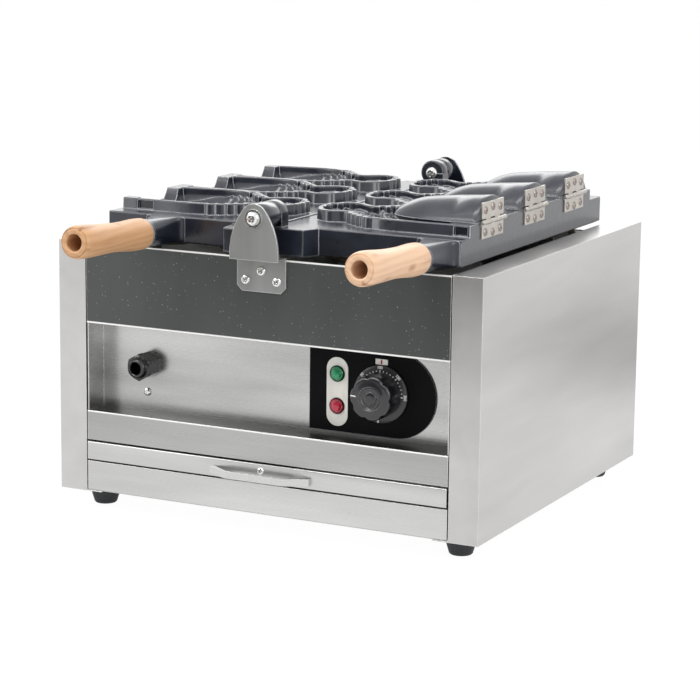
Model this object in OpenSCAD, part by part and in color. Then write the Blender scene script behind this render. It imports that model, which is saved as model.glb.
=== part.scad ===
// Countertop taiyaki maker with three fish-shaped moulds in two folding cast halves
// and a hinged mouth core in each fish.
// Frame: X to the right, Y to the back, Z up, origin under the centre of the bounding box.
// The modules are drawn in the cabinet's own frame, whose Y = 0 is the front of the posts
// and whose Z = 0 is the cabinet's bottom, and placed() moves them to the part's frame.

/* [Cabinet] */
// Thickness of the sheet metal
sheet = 1.2; // [0.8:0.1:1.6]
// Width of the side panels' front posts and top flanges
post_w = 32; // [26:1:38]
// Gap between a mould half and the side flange
side_gap = 4; // [3:0.5:8]
// Gap between the cabinet's front and the mould halves
front_gap = 27; // [24:1:32]
// Gap between the mould halves and the cabinet's back
rear_gap = 34; // [33:1:44]
// Height of the front skirt
skirt_h = 33; // [26:1:44]
// Height of the drawer's front
drawer_face_h = 20.4; // [17:0.2:30]
// Height of the bar above the drawer
bar_h = 31; // [26:1:40]
// Height of the recess that holds the controls
recess_h = 93; // [92:1:110]
// Depth of the recess
recess_d = 30; // [26:1:36]
// Height of the dark upper front panel
upper_h = 84.5; // [78:0.5:96]
// Seam between neighbouring front panels
seam = 1.3; // [0.8:0.1:2]

/* [Feet] */
// Height of the rubber feet
foot_h = 19.5; // [12:0.5:26]
// Diameter of a foot at its top
foot_top_d = 34; // [26:1:36]
// Diameter of a foot at its bottom
foot_bottom_d = 24; // [16:1:25]
// Distance of a foot's centre from the cabinet's front or back
foot_inset_y = 35; // [22:1:45]
// Distance of a foot's centre from the cabinet's side
foot_inset_x = 33; // [19:1:45]

/* [Moulds] */
// Distance between neighbouring fish
fish_pitch = 109; // [108:0.5:116]
// Margin from the first and last fish to the mould's ends
end_margin = 23; // [20:1:30]
// Reach of the right mould half from the folding axis
right_reach = 204; // [202:1:214]
// Amount by which the left mould half is shorter than the right one
left_short = 8; // [6:1:9]
// Thickness of the tray under the rims
tray_t = 27.2; // [26:0.2:32]
// Height of the fish rims above the tray
rim_h = 11.65; // [10:0.05:14]
// Thickness of the fish rims
rim_t = 5.5; // [4.5:0.5:6.5]
// Depth of the fish body below the parting plane
body_depth = 31.5; // [29:0.5:33]
// Depth of the fins and the tail below the parting plane
fin_depth = 9; // [7:0.5:11]
// Height of the fin ribs
fin_rib_h = 1.6; // [1:0.2:2.4]
// Width of the fin ribs
fin_rib_w = 1.8; // [1.2:0.2:2.6]
// Gap between the mould halves and the heating tubes
heat_gap = 0.4; // [0.3:0.1:1]
// Gap from the cabinet's top to the underside of the mould halves
mould_lift = 2.5; // [1.5:0.5:6]

/* [Folding hinge] */
// Diameter of the pivot bolts
pivot_d = 10; // [8:0.5:12]
// Radius of the hinge ears
ear_r = 14; // [13:0.5:16]
// Radial running clearance of the pivot bolts
pivot_clear = 0.05; // [0.02:0.01:0.1]
// Width of the hinge brackets
bracket_w = 55; // [48:1:64]
// Radius of the brackets' rounded head
bracket_head_r = 14.6; // [13:0.1:16]
// Thickness of the hinge brackets
bracket_t = 2; // [1.5:0.5:3]
// Distance from the cabinet's front to the front bracket's upright
bracket_step = 16; // [16:1:22]
// Height of the bracket's lower plate
bracket_drop = 34; // [28:1:44]

/* [Mouth cores] */
// Width of a core at the parting plane
core_w = 77; // [70:1:78]
// Height of a core above the parting plane
core_h = 24.5; // [20:0.5:25]
// Length of a core
core_len = 102; // [92:1:104]
// Amount by which a core's centre lies before the fish's centre
mouth_shift = 5; // [3:0.5:6]
// Width of a core's hinge leaf
leaf_w = 52; // [44:1:56]
// Height of the upper hinge leaf
leaf_h = 19.5; // [18:0.5:21]
// Height of the lower hinge leaf
lower_leaf_h = 16.5; // [16:0.5:18]
// Thickness of a hinge leaf
leaf_t = 1.6; // [1.2:0.1:2]
// Radius of the hinge's knuckles
knuckle_r = 2.4; // [2.2:0.1:2.9]
// Radius of the hinge pins
pin_r = 1.3; // [1:0.1:1.5]

/* [Handles] */
// Length of a wooden grip
grip_len = 126; // [104:1:150]
// Radius of a grip at its outer end
grip_end_r = 16.6; // [15:0.1:18]
// Radius of a grip at its waist
grip_waist_r = 14.6; // [13.5:0.1:15]
// Radius of a grip at its joint
grip_joint_r = 16; // [15.2:0.1:17]
// Radius of the hole in a grip's outer end
grip_bore_r = 8.6; // [7:0.1:9.5]
// Upward tilt of the handles in degrees
grip_tilt = 3.4; // [1:0.2:5]
// Height of the handle's axis above the mould's underside
handle_rise = 14.1; // [13.5:0.1:15]
// Distance of the left handle from the left mould half's outer wall
left_handle_x = 68.5; // [62:0.5:84]
// Distance of the right handle from the right mould half's outer wall
right_handle_x = 24.5; // [20:0.5:32]

/* [Heating] */
// Diameter of the heating tubes
heater_d = 8; // [6.5:0.5:9]
// Distance between neighbouring legs of a heating tube
leg_pitch = 44; // [40:1:46]
// Depth of the reflector pan
pan_depth = 32; // [28:1:40]

/* [Controls] */
// Distance of the dial's centre from the control panel's right end
dial_x = 86.6; // [80:0.1:95]
// Diameter of the dial's skirt
dial_d = 59; // [54:1:64]
// Height of the dial above the bezel
dial_h = 27; // [22:1:29]
// Length of the bezel
bezel_len = 140.5; // [136:0.5:146]
// Distance from the dial's centre to the bezel's left edge
bezel_left = 80.5; // [78:0.5:83]
// Radius of the lamps
lamp_r = 7.3; // [6:0.1:8]
// Distance of the cable gland from the control panel's left end
gland_x = 55.2; // [36:0.1:76]
// Width of the gland's hexagon across its flats
gland_flats = 24; // [20:1:28]

/* [Drawer] */
// Depth of the crumb drawer from front to back
drawer_len = 385; // [330:1:392]
// Height of the crumb drawer's walls
drawer_wall_h = 12; // [8:1:15]
// Width of the drawer's pull
pull_w = 114; // [90:1:140]
// Reach of the drawer's pull
pull_reach = 16; // [12:1:24]
// Height of the pull's strap
pull_h = 7.5; // [7:0.5:12]

/* [Hidden] */
$fn = 64;

// Fish rows
rows = 3;
front_row = 0;
middle_row = 1;
rear_row = 2;

// Clearances
body_gap = 0.3;
seat_gap = 0.1;
swing_gap = 1.2;

// Cabinet
mould_len = rows * fish_pitch + 2 * end_margin;
mould_front = front_gap;
mould_rear = mould_front + mould_len;
tray_y = 1;
drawer_room = 8;
cab_d = max(mould_rear + rear_gap, tray_y + drawer_len + 2 * sheet + drawer_room);
opening_half = right_reach + side_gap;
cab_half = opening_half + post_w;
front_half = opening_half - seam;
drawer_z = skirt_h + seam;
bar_z = drawer_z + drawer_face_h + seam;
recess_z = bar_z + bar_h + seam;
upper_z = recess_z + recess_h - seam;
front_top = upper_z + upper_h;
cab_h = front_top + sheet / 2;
lip_drop = 14;
hem = 3;
return_d = 14;

// Folding axis, which lies on the parting plane
plate_z = cab_h + mould_lift;
tray_top = plate_z + tray_t;
rim_top = tray_top + rim_h;
plane_z = rim_top + body_gap / 2;
pivot_r = pivot_d / 2;
bore_r = pivot_r + pivot_clear;
pivot_head_r = 6.8;
pivot_head_h = 4;
washer_r = 9.3;
washer_t = 1.5;
nut_h = 6;
nut_across = 17;
inner_x = 2;

// Hinge ears, from front to back
front_face_y = -bracket_step;
left_boss_y = front_face_y + 2;
left_ear_end = 13;
right_ear_y = left_ear_end + 1.5;
right_ear_end = right_ear_y + 14.5;
rear_right_y = mould_rear + 0.4;
rear_right_end = rear_right_y + 14.2;
rear_left_y = rear_right_end + 1.4;
rear_left_end = rear_left_y + 13.4;
back_plate_y = cab_d - sheet - seat_gap;
rear_upright_y = cab_d + 4.5;
bracket_foot = 5;
front_block_left = [0.5, 45];
front_block_right = [8, 41];
block_foot_x = 49;

// Fish outline as reach from the axis and offset from the fish's centre line
mouth_u = right_reach - 12;
cavity_end = right_reach - 26;
drawn_reach = 192;
drawn_pitch = 109;
fit_u = mouth_u / drawn_reach;
fit_v = fish_pitch / drawn_pitch;
fish_near = [
    [drawn_reach, -56], [150, -56], [118, -56], [98, -54], [84, -48], [72, -38.5], [62, -30.5],
    [50, -27], [35, -31.5], [21, -23]
];
fish_tail = [[12.5, -5], [13.5, 12], [20, 28], [32, 37], [46, 34]];
fish_far = [
    [60, 24.5], [70, 26.5], [80, 35], [90, 47], [106, 55], [128, 57], [158, 52.5],
    [drawn_reach, 46]
];
fish_points = fitted(concat(fish_near, fish_tail, fish_far));
curve_steps = 4;
lobe_r = 3.4;
near_lobes = [[66, -30], [74, -36], [82, -42], [91, -46.5]];
far_lobes = [[71, 23], [79, 30], [86, 38], [94, 46]];
tail_lobes = [[18.5, 15], [19, 5], [20.5, -6], [25, -16], [27, 27]];

// Fans of ribs in the fins and the tail: root, angles and reach
far_fin_root = [128, 4];
far_fin_angles = [132, 158];
near_fin_root = [128, -6];
near_fin_angles = [-156, -131];
fin_reach = [30, 75];
fin_rib_count = 6;
tail_root = [74, 2];
tail_angles = [158, 202];
tail_reach = [22, 66];
tail_rib_count = 7;

// Bowl of the fish body: radius of a round channel by reach from the axis
bowl_half_w = 48 * fit_v;
bowl_rise = body_depth - fin_depth;
bowl_r = (pow(bowl_half_w, 2) + pow(bowl_rise, 2)) / (2 * bowl_rise);
bowl_centre = bowl_r - body_depth;
bowl_from = 52 * fit_u;
bowl_full = 122 * fit_u;

// Mouth cores
core_r = (pow(core_w / 2, 2) + pow(core_h, 2)) / (2 * core_h);
core_centre = core_r - core_h;
core_tip = right_reach - core_len;
core_edge = 1.2;
// Height of a core along its length, both as shares, from the nose to the outer end
core_outline = [
    [0, 0.02], [0.02, 0.2], [0.078, 0.39], [0.176, 0.584], [0.284, 0.718], [0.47, 0.816],
    [0.667, 0.898], [0.863, 0.955], [0.94, 0.985]
];
hinge_x = right_reach + knuckle_r + body_gap;
knuckle_gap = 0.3;
knuckle_len = (leaf_w + 4) / 5;
leaf_start = 3.2;
leaf_screw_r = 1.8;
leaf_screw_len = 9;
leaf_head_r = 4.1;
leaf_head_h = 1.1;
leaf_screw_pitch = leaf_w * 0.35;
// Offset of a leaf's screws along the pin, and their extra distance from it
leaf_screw_places = [[-1, 0.3], [0, 2.1], [1, 0.3]];
pin_end = 0.6;

// Handles
joint_gap = 20;
left_handle_mid = right_reach - left_short - left_handle_x;
right_handle_mid = right_reach - right_handle_x;
boss_r = min(15, handle_rise + mould_lift + sheet / 2
    - (joint_gap + hem) * tan(grip_tilt) - 2 * body_gap);
collar_r = boss_r + 0.8;
collar_len = 7;
boss_len = mould_front + joint_gap;
flare = 5;
rod_r = 4;
rod_reach = 42;
handle_z = plate_z + handle_rise;
grip_profile = [
    [0, grip_joint_r - 3.5], [1.5, grip_joint_r - 1.2], [5, grip_joint_r],
    [20, grip_joint_r + 0.1], [0.3 * grip_len, grip_waist_r + 0.5],
    [0.45 * grip_len, grip_waist_r], [0.6 * grip_len, grip_waist_r + 0.5],
    [0.8 * grip_len, grip_end_r - 0.4], [grip_len - 9, grip_end_r],
    [grip_len - 2.5, grip_end_r - 0.8], [grip_len - 0.6, grip_end_r - 2.4],
    [grip_len, grip_end_r - 4]
];

// Bounding box along Y, for the part's origin
grip_front = max([for (p = grip_profile) p[0] * cos(grip_tilt) + p[1] * sin(grip_tilt)]);
front_most = -joint_gap - grip_front;
rear_most = rear_upright_y + bracket_t + nut_h + 1.5;
middle_y = (front_most + rear_most) / 2;

// Heating
heater_r = heater_d / 2;
heater_z = plate_z - heat_gap - heater_r;
leg_x0 = 40;
legs = 4;
heater_front = mould_front + 48;
heater_rear = mould_rear - 48;
heater_tail = mould_rear - 16;
drop_r = 14;
pan_top = cab_h - lip_drop;
pan_z = pan_top - pan_depth;
pan_front = mould_front - 11;
pan_rear = mould_rear + 18;
pan_half = opening_half - 3;
support_y = [mould_front + 90, mould_rear - 90];
support_end = 14;
support_t = 2;
support_foot = 14;
bead_len = 14;
bead_wall = 2;
bead_bore_r = 2;
cold_end = 12;

// Controls
recess_middle = recess_z + recess_h / 2;
dial_z = recess_middle - 0.8;
gland_z = recess_middle + 0.8;
panel_y = recess_d;
bezel_t = 1.6;
bezel_h = recess_h - 6;
bezel_y = panel_y - bezel_t;
skirt_t = 2.5;
shaft_r = 3;
dial_mid = front_half - dial_x;
gland_mid = front_half - gland_x;
lamp_x = dial_mid - 48.9;
lamp_z = dial_z - 0.6;
lamp_rise = 16.5;
plate_w = 23.8;
plate_h = 70.5;
plate_mid_z = lamp_z - 2;
index_w = 13.3;
index_h = 5.6;
index_gap = 0.4;
gland_r = 11.5;
gland_hole_r = 7.5;
gland_thread_r = 8;
earth_drop = 28.8;

// Drawer
runner_z = drawer_z + 1.4;
drawer_half = opening_half - 8;
pull_z = drawer_z + drawer_face_h / 2 - 2;
pull_t = 2;
face_y = -1.6;
screw_r = 1.8;

// Moves the drawing frame to the part's frame
module placed() {
    translate([0, -middle_y, foot_h])
        children();
}

// A block from its low corner to its high corner
module block(low, high) {
    translate(low)
        cube([high[0] - low[0], high[1] - low[1], high[2] - low[2]]);
}

// A cylinder along +Y from one depth to another
module rod_y(x, z, r, from, to) {
    translate([x, to, z])
        rotate([90, 0, 0])
            cylinder(r = r, h = to - from);
}

// A hexagonal prism along +Y
module hex_y(x, z, flats, from, to) {
    translate([x, to, z])
        rotate([90, 0, 0])
            cylinder(r = flats / sqrt(3), h = to - from, $fn = 6);
}

// A pan-head screw that points along +Y, with its seat at depth y
module screw_y(x, y, z, head_r, head_h, r, length) {
    translate([x, y, z])
        rotate([-90, 0, 0])
            pan_screw(head_r, head_h, r, length);
}

// A pan-head screw that points along -X, with its seat at x
module screw_x(x, y, z, head_r, head_h, r, length) {
    translate([x, y, z])
        rotate([0, -90, 0])
            pan_screw(head_r, head_h, r, length);
}

// A domed head below Z = 0 with a cross recess, and a plain shank above it
module pan_screw(head_r, head_h, r, length) {
    difference() {
        rotate_extrude($fn = 32)
            polygon([
                [0, -head_h], [head_r * 0.55, -head_h], [head_r * 0.86, -head_h * 0.7],
                [head_r, -head_h * 0.25], [head_r, 0], [r, 0], [r, length], [0, length]
            ]);
        for (turn = [0, 90])
            rotate(turn)
                translate([-head_r * 0.55, -head_r * 0.12, -head_h - 1])
                    cube([head_r * 1.1, head_r * 0.24, 1 + head_h * 0.5]);
    }
}

// Centre line of a fish
function fish_y(row) = mould_front + end_margin + fish_pitch * (row + 0.5);

// Centre line of a core
function core_y(row) = fish_y(row) - mouth_shift;

// Point of a Catmull-Rom curve between b and c
function curve_point(a, b, c, d, t) =
    0.5 * (2 * b + (c - a) * t + (2 * a - 5 * b + 4 * c - d) * t * t
        + (3 * b - a - 3 * c + d) * t * t * t);

// Smooth curve through a list of points, with plain ends
function curve(p, steps) = concat(
    [for (i = [0 : len(p) - 2], s = [0 : steps - 1])
        curve_point(p[max(i - 1, 0)], p[i], p[i + 1], p[min(i + 2, len(p) - 1)], s / steps)],
    [p[len(p) - 1]]);

// Unit normal to the left of a curve at a point
function normal_at(p, i) =
    let (t = p[min(i + 1, len(p) - 1)] - p[max(i - 1, 0)])
    [-t[1], t[0]] / norm(t);

// Curve moved to its right by a distance
function moved(p, d) = [for (i = [0 : len(p) - 1]) p[i] - d * normal_at(p, i)];

// Points of a fish as drawn, fitted to the mould's reach and the fish pitch
function fitted(points) = [for (p = points) [p[0] * fit_u, p[1] * fit_v]];

fish_curve = curve(fish_points, curve_steps);

// Lobes of the fins' and the tail's edge
module fin_lobes(r) {
    for (p = fitted(concat(near_lobes, far_lobes, tail_lobes)))
        translate(p)
            circle(r = r, $fn = 24);
}

// Outer outline of one fish rim
module fish_outer() {
    polygon(fish_curve);
    fin_lobes(lobe_r + rim_t * 0.85);
}

// Inner outline of one fish cavity
module fish_inner() {
    intersection() {
        union() {
            polygon(moved(fish_curve, rim_t));
            fin_lobes(lobe_r);
        }
        translate([0, -fish_pitch])
            square([cavity_end, 2 * fish_pitch]);
    }
}

// Ribs that fan out over one fin, from a root to its edge, between two angles
module rib_fan(root, angles, reach, count) {
    for (i = [0 : count - 1])
        translate(fitted([root])[0])
            rotate(angles[0] + (angles[1] - angles[0]) * i / (count - 1))
                translate([reach[0] * fit_u, -fin_rib_w / 2])
                    square([(reach[1] - reach[0]) * fit_u, fin_rib_w]);
}

// All ribs of one fish
module fish_ribs() {
    rib_fan(far_fin_root, far_fin_angles, fin_reach, fin_rib_count);
    rib_fan(near_fin_root, near_fin_angles, fin_reach, fin_rib_count);
    rib_fan(tail_root, tail_angles, tail_reach, tail_rib_count);
}

// Round channel of the fish body, drawn along +X about the parting plane
module fish_bowl() {
    r_at = function (u) bowl_centre + fin_depth - 1
        + (body_depth - fin_depth + 1) * sin(90 * min(1, (u - bowl_from) / (bowl_full - bowl_from)));
    translate([0, 0, plane_z + bowl_centre])
        rotate([0, 90, 0])
            rotate_extrude($fn = 96)
                polygon(concat(
                    [[0, bowl_from]],
                    [for (i = [0 : 8])
                        let (u = bowl_from + (bowl_full - bowl_from) * i / 8) [r_at(u), u]],
                    [[bowl_r, cavity_end - 8], [bowl_r - 2.5, cavity_end - 2], [bowl_r - 6, cavity_end],
                        [0, cavity_end]]));
}

// Cavity of one fish, with its fin ribs left standing
module fish_cavity(row) {
    fin_z = plane_z - fin_depth;
    translate([0, fish_y(row), 0]) {
        translate([0, 0, fin_z + fin_rib_h])
            linear_extrude(fin_depth + 1)
                fish_inner();
        translate([0, 0, fin_z])
            linear_extrude(fin_rib_h + 0.01)
                difference() {
                    fish_inner();
                    fish_ribs();
                }
        intersection() {
            translate([0, 0, plane_z - body_depth - 1])
                linear_extrude(body_depth + 2)
                    fish_inner();
            fish_bowl();
        }
    }
}

// Lens-shaped bar about the parting plane, from a profile of radius by reach
module lens_pair(profile) {
    intersection() {
        lens_half(profile, -1);
        lens_half(profile, 1);
    }
}

// One round body of the lens, about an axis above or below the parting plane
module lens_half(profile, side) {
    translate([0, 0, plane_z + side * core_centre])
        rotate([0, 90, 0])
            rotate_extrude($fn = 96)
                polygon(concat(
                    [[0, profile[0][1]]], profile, [[0, profile[len(profile) - 1][1]]]));
}

// Channel in the left mould half for the end of a core
module core_channel(row) {
    r = core_r + body_gap + 0.2;
    translate([0, core_y(row), 0])
        lens_pair([[r, cavity_end - 1], [r, right_reach]]);
}

// Ear, boss and block of a hinge, drawn for the half that lies on +X
module hinge_ear(from, to, web_from, web_to) {
    rod_y(0, plane_z, ear_r, from, to);
    block([inner_x, web_from, plate_z], [ear_r, web_to, plane_z]);
}

// Block that carries an ear, with its outer corner cut back
module ear_block(y_free, y_tray, x_free, top) {
    translate([0, 0, plate_z])
        linear_extrude(top - plate_z)
            polygon([
                [inner_x, y_free], [x_free, y_free], [block_foot_x, y_tray], [inner_x, y_tray]
            ]);
}

// Tray and rims shared by both mould halves, drawn for +X
module mould_shell(reach, end_reach) {
    block([inner_x, mould_front, plate_z], [reach, mould_rear, tray_top]);
    translate([0, 0, tray_top - 1])
        linear_extrude(rim_h + 1) {
            intersection() {
                for (row = [0 : rows - 1])
                    translate([0, fish_y(row)])
                        fish_outer();
                square([end_reach, mould_rear]);
            }
            translate([cavity_end, core_y(0) - core_w / 2 - 12])
                square([end_reach - cavity_end, (rows - 1) * fish_pitch + core_w + 24]);
        }
}

// Right mould half, which carries the cores
module right_mould_shape() {
    difference() {
        union() {
            mould_shell(right_reach, right_reach);
            hinge_ear(right_ear_y, right_ear_end, right_ear_y, right_ear_end);
            ear_block(front_block_right[0], mould_front, front_block_right[1], tray_top);
            hinge_ear(rear_right_y, rear_right_end, mould_rear, rear_right_end);
            ear_block(rear_right_end, mould_rear, front_block_right[1], tray_top);
        }
        for (row = [0 : rows - 1])
            fish_cavity(row);
        rod_y(0, plane_z, ear_r + swing_gap, -bracket_step, right_ear_y - 1);
        rod_y(0, plane_z, ear_r + swing_gap, rear_right_end + 0.5, rear_upright_y);
        rod_y(0, plane_z, bore_r, right_ear_y - 1, right_ear_end + 1);
        rod_y(0, plane_z, bore_r, mould_rear - 1, rear_right_end + 1);
        rod_y(0, plane_z, pivot_head_r + swing_gap, right_ear_end, right_ear_end + nut_h + 3);
        for (row = [0 : rows - 1])
            translate([right_reach, core_y(row), plane_z])
                mirror([0, 0, 1])
                    leaf_screw_holes(lower_leaf_h);
    }
}

// Left mould half, drawn for +X and mirrored where it is used
module left_mould_shape() {
    reach = right_reach - left_short;
    difference() {
        union() {
            mould_shell(reach, mouth_u);
            hinge_ear(left_boss_y, left_ear_end, front_block_left[0], left_ear_end);
            ear_block(front_block_left[0], mould_front, front_block_left[1], tray_top - 3);
            hinge_ear(rear_left_y, rear_left_end, rear_left_y, rear_left_end);
            ear_block(rear_left_end, mould_rear, front_block_left[1], tray_top - 3);
        }
        for (row = [0 : rows - 1]) {
            fish_cavity(row);
            core_channel(row);
        }
        rod_y(0, plane_z, ear_r + swing_gap, left_ear_end + 1, right_ear_end + 1);
        rod_y(0, plane_z, ear_r + swing_gap, mould_rear - 0.2, rear_left_y - 1);
        rod_y(0, plane_z, bore_r, left_boss_y - 1, left_ear_end + 1.5);
        rod_y(0, plane_z, bore_r, rear_left_y - 1.5, rear_left_end + 1);
    }
}

module left_mould_half() placed() color("dimgray")
    mirror([1, 0, 0])
        left_mould_shape();

module right_mould_half() placed() color("dimgray")
    right_mould_shape();

// Moves a shape drawn about +Z to a handle's axis, with Z = 0 at the grip's joint
module on_handle(x) {
    translate([x, -joint_gap, handle_z])
        rotate([90 - grip_tilt, 0, 0])
            children();
}

// Cast boss between a mould half and its grip
module handle_boss(x) {
    difference() {
        on_handle(x)
            difference() {
                rotate_extrude()
                    polygon(concat(
                        [[0, -boss_len - flare], [boss_r + flare, -boss_len - flare]],
                        [for (a = [0 : 15 : 90])
                            [boss_r + flare * (1 - sin(a)), -boss_len + flare * (1 - cos(a))]],
                        [[boss_r, -collar_len], [collar_r, -collar_len / 2],
                            [collar_r, -seat_gap], [0, -seat_gap]]));
                translate([0, 0, -rod_reach / 2])
                    cylinder(r = rod_r + seat_gap, h = rod_reach);
            }
        block([x - 2 * boss_r, mould_front, 0], [x + 2 * boss_r, mould_front + 2 * boss_r, plane_z]);
        block([x - 2 * boss_r, mould_front - 2 * flare, 0],
            [x + 2 * boss_r, 2 * mould_front, handle_z - boss_len * tan(grip_tilt) - boss_r]);
    }
}

// Threaded rod and nut that hold a grip on its boss
module handle_rod(x) {
    on_handle(x) {
        translate([0, 0, -rod_reach / 2 + seat_gap])
            cylinder(r = rod_r, h = rod_reach);
        translate([0, 0, rod_reach / 2 - 9])
            cylinder(r = grip_bore_r - 0.6, h = 1.5);
        translate([0, 0, rod_reach / 2 - 7.5])
            cylinder(r = 13 / sqrt(3), h = 5, $fn = 6);
    }
}

// Turned wooden grip with a stepped bore
module wooden_grip(x) {
    on_handle(x)
        difference() {
            rotate_extrude()
                polygon(concat(
                    [[0, 0]], [for (p = grip_profile) [p[1], p[0]]], [[0, grip_len]]));
            translate([0, 0, -1])
                cylinder(r = rod_r + seat_gap, h = grip_len);
            translate([0, 0, rod_reach / 2 - 9 - seat_gap])
                cylinder(r = grip_bore_r, h = grip_len);
        }
}

module left_handle_boss() placed() color("black") handle_boss(-left_handle_mid);
module left_handle_rod() placed() color("silver") handle_rod(-left_handle_mid);
module left_wooden_grip() placed() color("burlywood") wooden_grip(-left_handle_mid);
module right_handle_boss() placed() color("black") handle_boss(right_handle_mid);
module right_handle_rod() placed() color("silver") handle_rod(right_handle_mid);
module right_wooden_grip() placed() color("burlywood") wooden_grip(right_handle_mid);

// Barrel-shaped core that hollows a fish from its mouth
module mouth_core(row) {
    difference() {
        translate([0, core_y(row), 0])
            lens_pair(concat(
                [for (p = core_outline) [core_centre + core_h * p[1], core_tip + core_len * p[0]]],
                [[core_r, right_reach - core_edge], [core_r - core_edge, right_reach]]));
        block([cavity_end - 0.8, core_y(row) - core_w, plane_z - core_h - 5],
            [right_reach + 1, core_y(row) + core_w, plane_z + body_gap / 2]);
        translate([right_reach, core_y(row), plane_z])
            leaf_screw_holes(leaf_h);
    }
}

module front_mouth_core() placed() color("dimgray") mouth_core(front_row);
module middle_mouth_core() placed() color("dimgray") mouth_core(middle_row);
module rear_mouth_core() placed() color("dimgray") mouth_core(rear_row);

// Height of a leaf's screw above the pin
function leaf_screw_z(height, place) = leaf_start + (height - leaf_start) / 2 + place[1];

// Holes for a leaf's screws, drawn upwards from the parting plane
module leaf_screw_holes(height) {
    for (place = leaf_screw_places)
        translate([leaf_t + body_gap, place[0] * leaf_screw_pitch, leaf_screw_z(height, place)])
            rotate([0, -90, 0])
                cylinder(r = leaf_screw_r + seat_gap, h = leaf_screw_len + body_gap + 1, $fn = 24);
}

// Hinge leaf with the knuckles whose numbers are given, drawn upwards about Y = 0
module hinge_leaf(knuckles, clear, height) {
    difference() {
        union() {
            block([right_reach, -leaf_w / 2, leaf_start],
                [right_reach + leaf_t, leaf_w / 2, height]);
            for (k = knuckles) {
                from = (k - 2.5) * knuckle_len + knuckle_gap / 2;
                to = (k - 1.5) * knuckle_len - knuckle_gap / 2;
                rod_y(hinge_x, 0, knuckle_r, from, to);
                block([right_reach, from, 0], [right_reach + leaf_t, to, leaf_start + 0.1]);
            }
        }
        rod_y(hinge_x, 0, pin_r + clear, -leaf_w, leaf_w);
        translate([right_reach, 0, 0])
            leaf_screw_holes(height);
    }
}

// Upper leaf of one core's hinge
module core_leaf(row) {
    translate([0, core_y(row), plane_z])
        hinge_leaf([1, 3], 0.05, leaf_h);
}

// Three screws through a leaf, above or below the parting plane
module leaf_screws(row, side) {
    height = side > 0 ? leaf_h : lower_leaf_h;
    for (place = leaf_screw_places)
        screw_x(right_reach + leaf_t, core_y(row) + place[0] * leaf_screw_pitch,
            plane_z + side * leaf_screw_z(height, place),
            leaf_head_r, leaf_head_h, leaf_screw_r, leaf_screw_len);
}

module front_core_leaf() placed() color("silver") core_leaf(front_row);
module middle_core_leaf() placed() color("silver") core_leaf(middle_row);
module rear_core_leaf() placed() color("silver") core_leaf(rear_row);
module front_leaf_screws() placed() color("silver") leaf_screws(front_row, 1);
module middle_leaf_screws() placed() color("silver") leaf_screws(middle_row, 1);
module rear_leaf_screws() placed() color("silver") leaf_screws(rear_row, 1);

module lower_leaf_screws() placed() color("silver")
    for (row = [0 : rows - 1])
        leaf_screws(row, -1);

module core_hinge_lower_leaves() placed() color("silver")
    for (row = [0 : rows - 1])
        translate([0, core_y(row), plane_z])
            mirror([0, 0, 1])
                hinge_leaf([0, 2, 4], 0, lower_leaf_h);

module core_hinge_pins() placed() color("gainsboro")
    for (row = [0 : rows - 1])
        rod_y(hinge_x, plane_z, pin_r, core_y(row) - knuckle_len * 2.5 - pin_end,
            core_y(row) + knuckle_len * 2.5 + pin_end);

// Side panel folded from one sheet, drawn for +X
module side_panel() {
    block([cab_half - sheet, 0, 0], [cab_half, cab_d, cab_h]);
    block([opening_half, 0, 0], [cab_half, sheet, cab_h]);
    block([opening_half, cab_d - sheet, 0], [cab_half, cab_d, cab_h]);
    block([opening_half, 0, cab_h - sheet], [cab_half, cab_d, cab_h]);
    block([opening_half, 0, cab_h - lip_drop], [opening_half + sheet, cab_d, cab_h]);
    block([cab_half - 2 * foot_inset_x + foot_top_d / 2, 0, 0], [cab_half, cab_d, sheet]);
    block([opening_half, 0, 0], [opening_half + sheet, return_d, cab_h]);
}

// Holes for the foot screws
module foot_holes() {
    for (x = [-1, 1], y = [foot_inset_y, cab_d - foot_inset_y])
        translate([x * (cab_half - foot_inset_x), y, -foot_h - 1])
            cylinder(r = 2.6, h = foot_h + 10, $fn = 24);
}

module left_side_panel() placed() color("lightgray")
    difference() {
        mirror([1, 0, 0])
            side_panel();
        foot_holes();
    }

module right_side_panel() placed() color("lightgray")
    difference() {
        side_panel();
        foot_holes();
    }

module base_pan() placed() color("lightgray")
    difference() {
        block([-cab_half + sheet, sheet, sheet], [cab_half - sheet, cab_d - sheet, 2 * sheet]);
        block([opening_half - seat_gap, 0, 0], [opening_half + sheet + seat_gap, return_d + 1, cab_h]);
        block([-opening_half - sheet - seat_gap, 0, 0], [seat_gap - opening_half, return_d + 1, cab_h]);
        foot_holes();
    }

module back_panel() placed() color("lightgray")
    difference() {
        block([-cab_half + sheet, cab_d - 2 * sheet, 2 * sheet],
            [cab_half - sheet, cab_d - sheet, cab_h - lip_drop]);
        for (i = [-4 : 4], z = [0.35, 0.5, 0.65])
            block([i * 38 - 13, cab_d - 3 * sheet, z * cab_h - 2.5],
                [i * 38 + 13, cab_d, z * cab_h + 2.5]);
        rear_screw_holes();
    }

// Holes for the rear bracket's screws
module rear_screw_holes() {
    for (p = rear_screw_places)
        rod_y(p[0], p[1], screw_r + seat_gap, cab_d - bracket_screw_len, cab_d + bracket_screw_len);
}

module front_skirt() placed() color("lightgray") {
    block([-front_half, 0, 2 * sheet], [front_half, sheet, skirt_h]);
    block([-front_half, 0, skirt_h - sheet], [front_half, return_d, skirt_h]);
    block([-front_half, 0, 2 * sheet], [front_half, return_d, 3 * sheet]);
}

module lower_front_bar() placed() color("lightgray") {
    block([-front_half, 0, bar_z], [front_half, sheet, bar_z + bar_h]);
    block([-front_half, 0, bar_z], [front_half, return_d, bar_z + sheet]);
    block([-front_half, 0, bar_z + bar_h - sheet],
        [front_half, panel_y, bar_z + bar_h]);
}

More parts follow.
